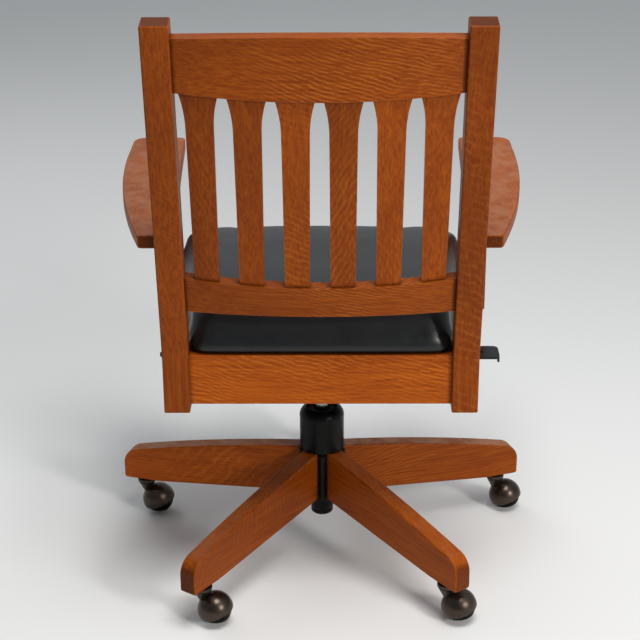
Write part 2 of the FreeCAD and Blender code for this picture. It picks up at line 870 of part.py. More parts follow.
def tilt_spring():
    """One unbroken wound wire; prints the least gap between neighbouring turns."""
    pitch = (spring_length - 2 * spring_wire_radius) / spring_turns
    edges = []
    for step in range(spring_turns * spring_steps_per_turn):
        a = step / spring_steps_per_turn
        b = (step + 1) / spring_steps_per_turn
        ends = [(helix_point(t, spring_coil_radius, pitch), helix_direction(t, spring_coil_radius, pitch))
                for t in (a, b)]
        edges += biarc(*ends[0], *ends[1])
    path = Part.Wire(edges)
    points = path.discretize(Number=spring_turns * gap_samples_per_turn + 1)
    count = len(points)
    least = min((points[i] - points[j]).Length
                for i in range(count) for j in range(i + gap_samples_skipped, count))
    print("least gap between the spring's turns: %.2f mm" % (least - 2 * spring_wire_radius))
    start = helix_point(0, spring_coil_radius, pitch)
    circle = Part.Circle(start, helix_direction(0, spring_coil_radius, pitch), spring_wire_radius)
    section = [circle.value(2 * math.pi * side / spring_wire_sides) for side in range(spring_wire_sides)]
    wire = path.makePipeShell([Part.makePolygon(section + section[:1])], True, False)
    return moved(wire, V(0, tension_y, housing_bottom - spring_length + spring_wire_radius))


# Levers

def bent_rod(points, radius):
    shape = rod(radius, points[0], points[1])
    for start, end in zip(points[1:], points[2:]):
        shape = shape.fuse(Part.makeSphere(radius, start)).fuse(rod(radius, start, end))
    return shape


def height_lever_rod():
    rod_path = [V(lever_inner_end, 0, lever_z), V(-lever_bend_start, 0, lever_z),
                V(-lever_bend_end, -lever_offset_y, lever_z), V(-lever_rod_end, -lever_offset_y, lever_z)]
    pin = rod(lever_pin_radius, V(-lever_pivot_x, -lever_pin_length / 2, lever_z),
              V(-lever_pivot_x, lever_pin_length / 2, lever_z))
    return bent_rod(rod_path, lever_rod_radius).fuse(pin).removeSplitter()


def height_lever_paddle():
    """Flat finger plate with a turned-down lip and a boss on the rod."""
    y0 = -lever_offset_y - paddle_half_width
    y1 = -lever_offset_y + paddle_half_width
    top = paddle_bottom + paddle_thickness
    plate = box(-paddle_end, -paddle_start, y0, y1, paddle_bottom, top)
    plate = softened(plate, paddle_corner_round, along(AXIS_Z))
    lip = box(-paddle_end, -paddle_end + paddle_thickness, y0 + paddle_corner_round, y1 - paddle_corner_round,
              paddle_bottom - paddle_lip_drop, top)
    boss = rod(paddle_boss_radius, V(-paddle_boss_start, -lever_offset_y, lever_z),
               V(-lever_rod_end - paddle_thickness, -lever_offset_y, lever_z))
    bore = rod(lever_rod_radius, V(-paddle_boss_start + cut_overrun, -lever_offset_y, lever_z),
               V(-lever_rod_end, -lever_offset_y, lever_z))
    return plate.fuse(lip).fuse(boss).cut(bore).removeSplitter()


def tilt_lock_rod():
    collar_x = lock_guide_x + lock_guide_thickness + lock_travel + running_gap
    shape = rod(lock_rod_radius, V(lock_tip_x, lock_y, lock_z), V(lock_rod_end, lock_y, lock_z))
    collar = rod(lock_collar_radius, V(collar_x, lock_y, lock_z),
                 V(collar_x + lock_collar_length, lock_y, lock_z))
    return shape.fuse(collar).removeSplitter()


def tilt_lock_grip():
    nose_radius = grip_radius - grip_nose / 2
    profile = [(0, 0), (grip_radius - grip_nose / 4, 0), (grip_radius, grip_nose / 4),
               (grip_radius, grip_end - grip_start - grip_nose), (nose_radius, grip_end - grip_start),
               (0, grip_end - grip_start)]
    shape = turned(revolved(profile), 90, AXIS_Y)
    shape = moved(shape, V(grip_start, lock_y, lock_z))
    return shape.cut(rod(lock_rod_radius, V(grip_start - cut_overrun, lock_y, lock_z),
                         V(lock_rod_end, lock_y, lock_z)))


# Rear posts

post_inner_x = post_outer_x - post_width
bend_top_y = post_rear_y + post_bend_radius * (1 - math.cos(rake))
bend_top_z = post_bend_z + post_bend_radius * math.sin(rake)


def raked(shape):
    """Places a piece drawn upright, rear face of the posts on y 0 and bend top on z 0."""
    return moved(turned(shape, -post_rake_deg, AXIS_X), V(0, bend_top_y, bend_top_z))


def post_line(depth):
    """Points of the post's side at a depth in front of its rear face, from the foot up."""
    centre_y = post_rear_y + post_bend_radius
    radius = post_bend_radius + depth

    def at(angle):
        return V(post_inner_x, centre_y - radius * math.cos(angle), post_bend_z + radius * math.sin(angle))
    tip = at(rake) + V(0, math.sin(rake), math.cos(rake)) * post_upper_length
    return V(post_inner_x, post_rear_y - depth, post_bottom), at(0), at(rake / 2), at(rake), tip


def rear_post_blank():
    foot_r, bend_r, mid_r, top_r, tip_r = post_line(0)
    foot_f, bend_f, mid_f, top_f, tip_f = post_line(post_depth)
    wire = outline(foot_r, bend_r, (mid_r, top_r), tip_r, tip_f, top_f, (mid_f, bend_f), foot_f)
    blank = extruded(wire, V(post_width, 0, 0))
    return blank.makeFillet(wood_edge_round, blank.Edges)


# Rails and slats between the rear posts

crest_top_at_post = post_upper_length - crest_below_post_tip
crest_top_at_middle = crest_top_at_post + crest_top_rise
crest_bottom_at_post = crest_top_at_post - crest_height_at_post
crest_bottom_at_middle = crest_bottom_at_post - crest_bottom_sag
bow_radius = (post_inner_x ** 2 + back_bow ** 2) / (2 * back_bow)
bow_centre_y = back_bow - rail_recess - bow_radius


def arc_height(x, at_post, at_middle):
    """Height at x of an arc through both posts and the middle."""
    rise = at_post - at_middle
    radius = (post_inner_x ** 2 + rise ** 2) / (2 * abs(rise))
    drop = radius - math.sqrt(radius ** 2 - x ** 2)
    return at_middle + math.copysign(drop, rise)


def bowed_board(recess, thickness, front_wire, depth):
    """Board bowed in plan, trimmed to its front view."""
    outer = bow_radius - recess
    z0 = -cut_overrun
    z1 = post_upper_length
    shell = Part.makeCylinder(outer, z1 - z0, V(0, bow_centre_y, z0))
    shell = shell.cut(Part.makeCylinder(outer - thickness, z1 - z0, V(0, bow_centre_y, z0)))
    return shell.common(extruded(front_wire, V(0, depth, 0)))


def front_outline(bottom_post, bottom_mid, top_post, top_mid):
    """Front view of a rail, on a plane in front of the posts."""
    y = -post_depth
    half = post_inner_x
    low_left = V(-half, y, bottom_post)
    low_right = V(half, y, bottom_post)
    high_left = V(-half, y, top_post)
    high_right = V(half, y, top_post)
    top = (V(0, y, top_mid), high_left)
    if bottom_post == bottom_mid:
        return outline(low_left, low_right, high_right, top)
    return outline(low_left, (V(0, y, bottom_mid), low_right), high_right, top)


def rail_tenon(bottom, top, thickness):
    y = -rail_recess - thickness / 2
    start = post_inner_x - cut_overrun
    return box(start, post_inner_x + tenon_length, y - tenon_thickness / 2, y + tenon_thickness / 2,
               bottom + tenon_shoulder, top - tenon_shoulder)


def bowed_rail(bottom_post, bottom_mid, top_post, top_mid, thickness):
    wire = front_outline(bottom_post, bottom_mid, top_post, top_mid)
    body = bowed_board(0, thickness, wire, 2 * post_depth)
    tenon = rail_tenon(bottom_post, top_post, thickness)
    return body.fuse(tenon).fuse(mirrored(tenon)).removeSplitter()


def slat(index):
    """One slat, waisted in the middle and flared to the crest."""
    x = (index - (slat_count - 1) / 2) * slat_pitch
    foot = arc_height(x, lower_rail_top_at_post, lower_rail_top_at_middle)
    head = arc_height(x, crest_bottom_at_post, crest_bottom_at_middle)
    y = -post_depth
    flare_mid_half = slat_waist_half_width + (slat_head_half_width - slat_waist_half_width) * slat_flare_share
    waist_z = head - slat_flare_length
    flare_z = head - slat_flare_length * slat_flare_height_share

    def at(half, z):
        return V(x + half, y, z)
    foot_z = foot - slat_mortise
    head_z = head + slat_mortise
    wire = outline(at(-slat_foot_half_width, foot_z), at(slat_foot_half_width, foot_z),
                   at(slat_foot_half_width, foot), at(slat_waist_half_width, waist_z),
                   (at(flare_mid_half, flare_z), at(slat_head_half_width, head)),
                   at(slat_head_half_width, head_z),
                   at(-slat_head_half_width, head_z), at(-slat_head_half_width, head),
                   (at(-flare_mid_half, flare_z), at(-slat_waist_half_width, waist_z)),
                   at(-slat_foot_half_width, foot))
    return bowed_board(slat_recess, slat_thickness, wire, 2 * post_depth)


# Seat frame

rail_bottom = seat_rail_top - seat_rail_height
rear_post_front_y = post_rear_y - post_depth
front_post_front_y = front_post_rear_y - front_post_depth
front_post_outer_x = front_post_inner_x + front_post_depth
rear_rail_y = post_rear_y - rail_recess
front_rail_y = front_post_front_y + rail_recess


def side_inner_x(y):
    """Inner face of the side rail at y."""
    rear = post_inner_x + side_rail_inset_rear
    front = front_post_inner_x + side_rail_inset_front
    return rear + (front - rear) * (rear_post_front_y - y) / (rear_post_front_y - front_post_rear_y)


def cross_rail(half_length, face_y, other_y):
    """Straight rail between two posts, with a tenon at each end."""
    middle = (face_y + other_y) / 2
    body = box(-half_length, half_length, face_y, other_y, rail_bottom, seat_rail_top)
    body = softened(body, wood_edge_round / 2, along(AXIS_X))
    tenon = box(-half_length - tenon_length, half_length + tenon_length, middle - tenon_thickness / 2,
                middle + tenon_thickness / 2, rail_bottom + tenon_shoulder, seat_rail_top - tenon_shoulder)
    return body.fuse(tenon).removeSplitter()


def side_rail():
    def at(y, offset):
        return (side_inner_x(y) + offset, y)
    body = prism([at(front_post_rear_y, 0), at(front_post_rear_y, seat_rail_thickness),
                  at(rear_post_front_y, seat_rail_thickness), at(rear_post_front_y, 0)],
                 rail_bottom, seat_rail_top)

    def long_way(edge):
        points = ends_of(edge)
        return abs(points[0].y - points[-1].y) > seat_rail_height
    body = softened(body, wood_edge_round / 2, long_way)
    low = rail_bottom + tenon_shoulder
    high = seat_rail_top - tenon_shoulder
    for y, step in ((rear_post_front_y, 1), (front_post_rear_y, -1)):
        x = side_inner_x(y) + seat_rail_thickness / 2
        body = body.fuse(box(x - tenon_thickness / 2, x + tenon_thickness / 2, y - step * cut_overrun,
                             y + step * tenon_length, low, high))
    return body.removeSplitter()


def bearer(y):
    def at(side, end):
        return (side * (side_inner_x(end) + bearer_housing), end)
    near = y - bearer_half_width
    far = y + bearer_half_width
    shape = prism([at(-1, near), at(1, near), at(1, far), at(-1, far)],
                  rail_bottom, rail_bottom + bearer_thickness)
    for x, bolt_y in plate_bolt_places():
        shape = shape.cut(rod(plate_bolt_radius, V(x, bolt_y, rail_bottom - cut_overrun),
                              V(x, bolt_y, plate_bottom + plate_bolt_grip)))
    return shape


board_bottom = seat_rail_top - board_thickness


def corner_block(rear):
    """Glue block in the corner of the seat frame, on the +X side."""
    if rear:
        rail_y = rear_rail_y - seat_rail_thickness
        post_y = rear_post_front_y
        post_x = post_inner_x
        step = -1
    else:
        rail_y = front_rail_y + seat_rail_thickness
        post_y = front_post_rear_y
        post_x = front_post_inner_x
        step = 1
    far_y = post_y + step * block_along_side
    points = [(post_x - block_along_rail, rail_y), (post_x, rail_y), (post_x, post_y),
              (side_inner_x(post_y), post_y), (side_inner_x(far_y), far_y)]
    return prism(points, board_bottom - block_height, board_bottom)


def board_screw_places():
    places = []
    for rail_y, step, post_x in ((rear_rail_y - seat_rail_thickness, -1, post_inner_x),
                                 (front_rail_y + seat_rail_thickness, 1, front_post_inner_x)):
        y = rail_y + step * block_along_rail / 4
        for side in (-1, 1):
            places.append((side * (post_x - block_along_rail / 4), y))
    return places


def board_screw(x, y):
    bottom = board_bottom - block_height
    head = rod(screw_head_radius, V(x, y, bottom), V(x, y, bottom + screw_head_height))
    return head.fuse(rod(screw_radius, V(x, y, bottom), V(x, y, bottom + screw_length))).removeSplitter()


def seat_board():
    rear_y = rear_rail_y - seat_rail_thickness - board_gap
    front_y = front_rail_y + seat_rail_thickness + board_gap
    rear_step = rear_post_front_y - board_gap
    front_step = front_post_rear_y + board_gap
    half = [(post_inner_x - board_gap, rear_y), (post_inner_x - board_gap, rear_step),
            (side_inner_x(rear_step) - board_gap, rear_step),
            (side_inner_x(front_step) - board_gap, front_step),
            (front_post_inner_x - board_gap, front_step), (front_post_inner_x - board_gap, front_y)]
    other = [(-x, y) for x, y in reversed(half)]
    return prism(half + other, board_bottom, seat_rail_top)


# Arms

def arm_placed(shape):
    """Places a piece drawn flat, arm top on z 0, at the arm's height and slope."""
    return moved(turned(shape, -arm_rise_deg, AXIS_X), V(0, 0, arm_top_at_column))


def arm_blank():
    """Plan outline of the +X arm, wider towards the front, with rounded corners and edges."""
    low = -arm_thickness

    def at(x, y):
        return V(x, y, low)
    inner_mid_y = (arm_rear_y + arm_front_y) / 2
    wire = outline(at(arm_inner_rear_x, arm_rear_y), at(arm_outer_rear_x, arm_rear_y),
                   (at(arm_outer_mid_x, arm_outer_mid_y), at(arm_outer_front_x, arm_outer_straight_y)),
                   at(arm_outer_front_x, arm_front_y), at(arm_inner_front_x, arm_front_y),
                   (at(arm_inner_mid_x, inner_mid_y), at(arm_inner_rear_x, arm_rear_y)))
    blank = extruded(wire, V(0, 0, arm_thickness))
    for x, y, radius in ((arm_outer_front_x, arm_front_y, arm_outer_corner_round),
                         (arm_inner_front_x, arm_front_y, arm_inner_corner_round),
                         (arm_outer_rear_x, arm_rear_y, arm_rear_corner_round)):
        def at_corner(edge, x=x, y=y):
            points = ends_of(edge)
            return along(AXIS_Z)(edge) and (points[0] - V(x, y, points[0].z)).Length < running_gap
        blank = softened(blank, radius, at_corner)

    def on_rim(edge):
        points = ends_of(edge)
        level = abs(points[0].z - points[-1].z) < shaft_clearance
        at_rear = all(abs(p.y - arm_rear_y) < shaft_clearance for p in points)
        return level and not at_rear
    return softened(blank, arm_edge_round, on_rim)


def arm_front_tenon():
    x = front_post_inner_x + front_post_depth / 2
    y = front_post_rear_y - front_post_depth / 2
    half = arm_tenon_width / 2
    return box(x - half, x + half, y - arm_tenon_thickness / 2, y + arm_tenon_thickness / 2,
               -arm_thickness - cut_overrun, -arm_thickness + arm_tenon_length)


def arm_rear_tenon():
    x = (arm_inner_rear_x + post_outer_x) / 2
    half = arm_tenon_width / 2
    middle = -arm_thickness / 2
    return box(x - half, x + half,
               arm_rear_y - 2 * arm_rear_tenon_reach, arm_rear_y + arm_rear_tenon_reach / 2,
               middle - arm_tenon_thickness / 2, middle + arm_tenon_thickness / 2)


def front_post_blank():
    top = arm_top_at_column + arm_thickness
    shape = box(front_post_inner_x, front_post_outer_x, front_post_front_y, front_post_rear_y,
                post_bottom, top)
    shape = softened(shape, wood_edge_round, along(AXIS_Z))
    reach = 2 * arm_outer_front_x
    above = arm_placed(box(0, reach, -reach, reach, -arm_thickness, reach))
    return shape.cut(above).fuse(arm_placed(arm_front_tenon())).removeSplitter()


# Cushion

def rounded_outline(points, radius, z):
    """Polygon with arcs at its corners, as steps for a wire."""
    steps = []
    count = len(points)
    for index in range(count):
        corner = V(points[index][0], points[index][1], z)
        before = V(points[index - 1][0], points[index - 1][1], z)
        after = V(points[(index + 1) % count][0], points[(index + 1) % count][1], z)
        back = (before - corner).normalize()
        on = (after - corner).normalize()
        half = math.acos(back.dot(on)) / 2
        cut = radius / math.tan(half)
        start = corner + back * cut
        end = corner + on * cut
        bisector = (back + on).normalize()
        arc_mid = corner + bisector * (radius / math.sin(half) - radius)
        steps.append(start)
        steps.append((arc_mid, end))
    return outline(steps[0], *steps[1:])


def cushion_form(skin):
    """Loft from the seam at the seat, out to the swell and over to the crown."""
    sections = []
    for height_share, inset_share in zip(cushion_height_shares, cushion_inset_shares):
        swell = cushion_inset_reach * inset_share
        inset = swell + skin
        z = seat_rail_top + skin + (cushion_height - 2 * skin) * height_share
        rear = cushion_rear_half_width - inset
        front = cushion_front_half_width - inset
        points = [(-rear, cushion_rear_y - inset), (-front, cushion_front_y + inset),
                  (front, cushion_front_y + inset), (rear, cushion_rear_y - inset)]
        corner = cushion_corner_round + swell * cushion_corner_growth_share - skin
        sections.append(rounded_outline(points, corner, z))
    return Part.makeLoft(sections, True, True)


# Casters

def caster_at(index):
    angle = math.radians(leg_angle(index))
    return V(stem_radius_on_base * math.cos(angle), stem_radius_on_base * math.sin(angle), 0)


caster_centre = V(caster_trail, 0, caster_wheel_radius)
caster_axle = V(0, math.cos(math.radians(caster_axle_tilt_deg)), math.sin(math.radians(caster_axle_tilt_deg)))


def caster_hood():
    """Ball-shaped hood with its neck, stem, boss and fixed axle, trailing along X."""
    inner = caster_hood_radius - caster_hood_wall
    ball = Part.makeSphere(caster_hood_radius, caster_centre)
    collar_bottom = caster_neck_top - caster_collar_height
    neck_top = collar_bottom - caster_groove_height
    neck = revolved([(0, caster_neck_foot), (caster_neck_foot_radius, caster_neck_foot),
                     (caster_neck_radius, neck_top),
                     (caster_groove_radius, neck_top), (caster_groove_radius, collar_bottom),
                     (caster_collar_radius, collar_bottom), (caster_collar_radius, caster_neck_top),
                     (0, caster_neck_top)])
    shape = ball.fuse(neck).cut(Part.makeSphere(inner, caster_centre))
    reach = 2 * caster_hood_radius
    below = box(-reach, reach, -reach, reach, -2 * reach, -caster_hood_skirt)
    below = moved(turned(below, -caster_hood_lean_deg, AXIS_Y), caster_centre)
    shape = shape.cut(below)
    boss_start = caster_wheel_half_width + caster_side_gap
    boss_end = inner + caster_hood_wall / 2
    shape = shape.fuse(rod(caster_boss_radius, caster_centre + caster_axle * boss_start,
                           caster_centre + caster_axle * boss_end))
    axle_end = caster_wheel_half_width + caster_side_gap
    shape = shape.fuse(rod(caster_axle_radius, caster_centre - caster_axle * axle_end,
                           caster_centre + caster_axle * boss_end))
    stem_top = caster_neck_top + stem_length
    stem = revolved([(0, caster_neck_top), (stem_radius, caster_neck_top),
                     (stem_radius, stem_top - stem_tip_round),
                     (stem_radius - stem_tip_round, stem_top), (0, stem_top)])
    return shape.fuse(stem).removeSplitter()


def caster_wheel():
    """Ball wheel cut flat and dished on both sides, on an inclined axle."""
    half = caster_wheel_half_width
    ball = Part.makeSphere(caster_wheel_radius, ORIGIN)
    shape = ball.common(rod(caster_wheel_radius, V(0, 0, -half), V(0, 0, half)))
    for side in (-1, 1):
        dish = ring(caster_hub_radius, caster_dish_radius, 0, caster_dish_depth + cut_overrun)
        shape = shape.cut(moved(dish, V(0, 0, half - caster_dish_depth)) if side > 0 else
                          moved(dish, V(0, 0, -half - cut_overrun)))
    shape = shape.cut(rod(caster_bore_radius, V(0, 0, -half - cut_overrun), V(0, 0, half + cut_overrun)))
    shape = turned(shape, caster_axle_tilt_deg - 90, AXIS_X)
    return moved(shape, caster_centre)


def caster_socket():
    """Steel sleeve with a closed top and a flange under the leg."""
    bore = stem_radius + shaft_clearance
    outer = stem_radius + sleeve_wall
    top = leg_foot_height + sleeve_length
    stem_top = caster_neck_top + stem_length
    flange_bottom = leg_foot_height - sleeve_flange_height
    return revolved([(bore, flange_bottom), (sleeve_flange_radius, flange_bottom),
                     (sleeve_flange_radius, leg_foot_height), (outer, leg_foot_height),
                     (outer, top), (0, top),
                     (0, stem_top + running_gap), (bore, stem_top + running_gap)])


# Base pieces

save("base_hub", base_hub())
leg_shape = leg()
fixings = leg_fixings()
all_fixings = []
sockets = []
hood = turned(caster_hood(), caster_heading_deg)
wheel = turned(caster_wheel(), caster_heading_deg)
for index in range(leg_count):
    save("base_leg_%d" % (index + 1), turned(leg_shape, leg_angle(index)))
    all_fixings += [turned(solid, leg_angle(index)) for solid in fixings]
    sockets.append(moved(caster_socket(), caster_at(index)))
    save("caster_hood_%d" % (index + 1), moved(hood, caster_at(index)))
    save("caster_wheel_%d" % (index + 1), moved(wheel, caster_at(index)))
save("leg_fixings", group(all_fixings))
save("caster_sockets", group(sockets))
save("column_tube", column_tube())
save("guide_bush", guide_bush())
save("column_cover", column_cover())

# Column and control pieces
save("piston_rod", piston_rod())
save("swivel_bearing", swivel_bearing())
save("gas_cylinder", gas_cylinder())
save("release_pin", release_pin())
save("mechanism_housing", mechanism_housing())
save("tilt_pivot_pin", tilt_pivot_pin())
save("tilt_spring", tilt_spring())
save("tension_bolt", tension_bolt())
save("tension_knob", tension_knob())
save("height_lever_rod", height_lever_rod())
save("height_lever_paddle", height_lever_paddle())
save("tilt_lock_rod", tilt_lock_rod())
save("tilt_lock_grip", tilt_lock_grip())
save("tilt_top_plate", tilt_top_plate())
save("plate_bolts", group(plate_bolts()))

# Back pieces
slats = [raked(slat(index)) for index in range(slat_count)]
crest = raked(bowed_rail(crest_bottom_at_post, crest_bottom_at_middle, crest_top_at_post,
                         crest_top_at_middle, crest_thickness))
lower_rail = raked(bowed_rail(lower_rail_bottom_at_post, lower_rail_bottom_at_middle, lower_rail_top_at_post,
                              lower_rail_top_at_middle, lower_rail_thickness))
for index, shape in enumerate(slats):
    save("back_slat_%d" % (index + 1), shape)
save("crest_rail", crest.cut(slats))
save("lower_back_rail", lower_rail.cut(slats))

# Seat frame pieces
rear_rail = cross_rail(post_inner_x, rear_rail_y, rear_rail_y - seat_rail_thickness)
front_rail = cross_rail(front_post_inner_x, front_rail_y, front_rail_y + seat_rail_thickness)
bearers = [bearer(-bearer_y), bearer(bearer_y)]
screws = [board_screw(x, y) for x, y in board_screw_places()]
side = side_rail()
side_left = side.cut(bearers)
blocks = []
for rear in (True, False):
    block = corner_block(rear)
    blocks += [block, mirrored(block)]
save("rear_seat_rail", rear_rail)
save("front_seat_rail", front_rail)
save("side_seat_rail_left", side_left)
save("side_seat_rail_right", mirrored(side_left))
save("seat_bearers", group(bearers))
save("corner_blocks", group([block.cut(screws) for block in blocks]))
save("seat_board", seat_board().cut(screws))
save("wood_screws", group(screws))

# Posts and arms
rear_post = rear_post_blank()
front_post = front_post_blank()
rear_tenon = arm_placed(arm_rear_tenon())
arm = arm_placed(arm_blank()).cut(rear_post).fuse(rear_tenon).cut(front_post).removeSplitter()
rear_post = rear_post.cut([crest, lower_rail, rear_rail, side, rear_tenon])
front_post = front_post.cut([front_rail, side])
save("rear_post_left", rear_post)
save("rear_post_right", mirrored(rear_post))
save("front_post_left", front_post)
save("front_post_right", mirrored(front_post))
save("arm_left", arm)
save("arm_right", mirrored(arm))

# Cushion
cover = cushion_form(0).cut(cushion_form(cushion_cover_thickness))
save("seat_cover", cover)
save("seat_foam", cushion_form(cushion_cover_thickness + running_gap))
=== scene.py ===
import bpy
import bmesh
import math
import numpy as np
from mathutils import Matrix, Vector


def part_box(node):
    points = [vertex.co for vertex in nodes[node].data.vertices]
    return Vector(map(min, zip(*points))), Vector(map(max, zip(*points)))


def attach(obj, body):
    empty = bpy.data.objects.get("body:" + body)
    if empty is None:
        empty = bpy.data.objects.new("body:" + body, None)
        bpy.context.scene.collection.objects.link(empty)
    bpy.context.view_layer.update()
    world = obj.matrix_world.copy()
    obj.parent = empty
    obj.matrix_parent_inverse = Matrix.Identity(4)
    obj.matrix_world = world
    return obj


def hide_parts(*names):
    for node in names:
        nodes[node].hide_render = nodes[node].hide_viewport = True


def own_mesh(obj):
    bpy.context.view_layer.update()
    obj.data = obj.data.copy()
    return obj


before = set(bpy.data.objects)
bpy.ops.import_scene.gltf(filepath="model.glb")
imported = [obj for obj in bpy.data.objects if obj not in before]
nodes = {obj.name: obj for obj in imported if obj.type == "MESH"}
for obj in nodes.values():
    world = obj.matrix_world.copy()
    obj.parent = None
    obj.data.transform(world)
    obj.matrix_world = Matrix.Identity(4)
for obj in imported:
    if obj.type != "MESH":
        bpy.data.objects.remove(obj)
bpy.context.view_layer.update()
scene = bpy.context.scene
print("frame loaded:", len(nodes), "nodes")


# View

view = {
    "place": (-0.01422, 2.4051, 1.38526),
    "turn": (68.0458, 0.19636, -179.67968),     # degrees, XYZ
    "lens": 86.8,
    "sensor": 36.0,
    "farthest": 100.0,
}


def makeView():
    data = bpy.data.cameras.new("camera")
    data.lens = view["lens"]
    data.sensor_width = view["sensor"]
    data.clip_end = view["farthest"]
    camera = bpy.data.objects.new("camera", data)
    camera.location = view["place"]
    camera.rotation_euler = [math.radians(a) for a in view["turn"]]
    scene.collection.objects.link(camera)
    scene.camera = camera
    scene.view_settings.view_transform = "Standard"


# Light and floor

studio = {
    "floorColor": (0.74, 0.74, 0.73),
    "floorRoughness": 0.85,
    "floorSize": 60.0,
    "farColor": (0.90, 0.955, 1.0, 1),      # sky beyond the chair, which its level faces mirror
    "nearColor": (0.42, 0.43, 0.45, 1),     # sky behind the camera
    "skySpan": (-0.7, 0.8),                 # Y of the direction, from beyond the chair to behind the camera
    "worldLevel": 0.52,
    "lamps": [
        # name, place, size, power, colour
        ("side softbox", (-2.5, 2.7, 1.9), 0.8, 78.0, (1.0, 0.985, 0.96)),
        ("top softbox", (-0.4, 1.1, 3.3), 1.5, 74.0, (1.0, 0.99, 0.98)),
        ("far fill", (1.8, -2.4, 2.6), 1.6, 14.0, (0.96, 0.98, 1.0)),
    ],
    "lampAim": (0.0, 0.0, 0.45),
}


# Rotation that turns -Z towards the target
def aimed(place, target):
    return (Vector(target) - Vector(place)).to_track_quat("-Z", "Y").to_euler()


# Sky that goes from nearColor behind the camera to farColor beyond the chair
def makeSky():
    world = bpy.data.worlds.new("studio")
    world.use_nodes = True
    g = Graph(world.node_tree)
    background = world.node_tree.nodes["Background"]
    apart = g.add("ShaderNodeSeparateXYZ")
    g.link(g.add("ShaderNodeTexCoord").outputs["Generated"], apart.inputs["Vector"])
    share = g.ramp(apart.outputs["Y"], *studio["skySpan"])
    g.link(g.mix(share, studio["farColor"], studio["nearColor"]), background.inputs["Color"])
    background.inputs["Strength"].default_value = studio["worldLevel"]
    scene.world = world


def makeStudio():
    for name, place, size, power, color in studio["lamps"]:
        data = bpy.data.lights.new(name, "AREA")
        data.shape = "DISK"
        data.size = size
        data.energy = power
        data.color = color
        lamp = bpy.data.objects.new(name, data)
        lamp.location = place
        lamp.rotation_euler = aimed(place, studio["lampAim"])
        scene.collection.objects.link(lamp)
    makeSky()
    half = studio["floorSize"] / 2
    mesh = bpy.data.meshes.new("floor")
    corners = [(-half, -half, 0), (half, -half, 0), (half, half, 0), (-half, half, 0)]
    mesh.from_pydata(corners, [], [(0, 1, 2, 3)])
    floor = bpy.data.objects.new("floor", mesh)
    scene.collection.objects.link(floor)
    material = bpy.data.materials.new("floor paint")
    material.use_nodes = True
    shader = material.node_tree.nodes["Principled BSDF"]
    shader.inputs["Base Color"].default_value = (*studio["floorColor"], 1)
    shader.inputs["Roughness"].default_value = studio["floorRoughness"]
    mesh.materials.append(material)


# Node helpers

# Short calls for building one node tree
class Graph:
    def __init__(self, tree):
        self.tree = tree

    def add(self, kind, **values):
        node = self.tree.nodes.new(kind)
        for key, value in values.items():
            setattr(node, key, value)
        return node

    def link(self, source, target):
        self.tree.links.new(source, target)

    def value(self, socket, given):
        if isinstance(given, bpy.types.NodeSocket):
            self.link(given, socket)
        else:
            socket.default_value = given

    def math(self, operation, a, b=0.0, clamp=False):
        node = self.add("ShaderNodeMath", operation=operation, use_clamp=clamp)
        self.value(node.inputs[0], a)
        self.value(node.inputs[1], b)
        return node.outputs[0]

    def vectorMath(self, operation, a, b):
        node = self.add("ShaderNodeVectorMath", operation=operation)
        self.value(node.inputs[0], a)
        self.value(node.inputs[1], b)
        return node.outputs[0]

    # Noise at the vector times scale, cells per metre along each axis
    def noise(self, vector, scale, detail, rough, output="Fac"):
        node = self.add("ShaderNodeTexNoise")
        self.link(self.vectorMath("MULTIPLY", vector, scale), node.inputs["Vector"])
        node.inputs["Scale"].default_value = 1.0
        node.inputs["Detail"].default_value = detail
        node.inputs["Roughness"].default_value = rough
        return node.outputs[output]

    # Smooth step from outLow at low to outHigh at high
    def ramp(self, given, low, high, outLow=0.0, outHigh=1.0):
        node = self.add("ShaderNodeMapRange")
        node.interpolation_type = "SMOOTHSTEP"
        self.value(node.inputs["Value"], given)
        node.inputs["From Min"].default_value = low
        node.inputs["From Max"].default_value = high
        node.inputs["To Min"].default_value = outLow
        node.inputs["To Max"].default_value = outHigh
        return node.outputs["Result"]

    def mix(self, factor, a, b, blend="MIX"):
        node = self.add("ShaderNodeMix", data_type="RGBA", blend_type=blend)
        self.value(node.inputs["Factor"], factor)
        colorIn = [s for s in node.inputs if s.type == "RGBA"]
        self.value(colorIn[0], a)
        self.value(colorIn[1], b)
        return [s for s in node.outputs if s.type == "RGBA"][0]

    def times(self, color, level):
        tint = self.add("ShaderNodeCombineXYZ")
        for socket in tint.inputs:
            self.value(socket, level)
        return self.mix(1.0, color, tint.outputs["Vector"], "MULTIPLY")


def newGroup(name, inputs, outputs):
    group = bpy.data.node_groups.new(name, "ShaderNodeTree")
    for socketName, kind, default in inputs:
        socket = group.interface.new_socket(name=socketName, in_out="INPUT", socket_type=kind)
        if default is not None:
            socket.default_value = default
    for socketName, kind in outputs:
        group.interface.new_socket(name=socketName, in_out="OUTPUT", socket_type=kind)
    graph = Graph(group)
    return group, graph, graph.add("NodeGroupInput"), graph.add("NodeGroupOutput")


def placed(graph, group, **given):
    node = graph.add("ShaderNodeGroup")
    node.node_tree = group
    for name, value in given.items():
        graph.value(node.inputs[name], value)
    return node


def assign(obj, material):
    if obj.material_slots:
        for entry in obj.material_slots:
            entry.material = material
    else:
        obj.data.materials.append(material)


def newMaterial(name):
    material = bpy.data.materials.new(name)
    material.use_nodes = True
    graph = Graph(material.node_tree)
    shader = material.node_tree.nodes["Principled BSDF"]
    return material, graph, shader


def bumpTo(graph, shader, height, distance, strength=1.0):
    bump = graph.add("ShaderNodeBump")
    bump.inputs["Distance"].default_value = distance
    bump.inputs["Strength"].default_value = strength
    graph.link(height, bump.inputs["Height"])
    graph.link(bump.outputs["Normal"], shader.inputs["Normal"])


# Oak

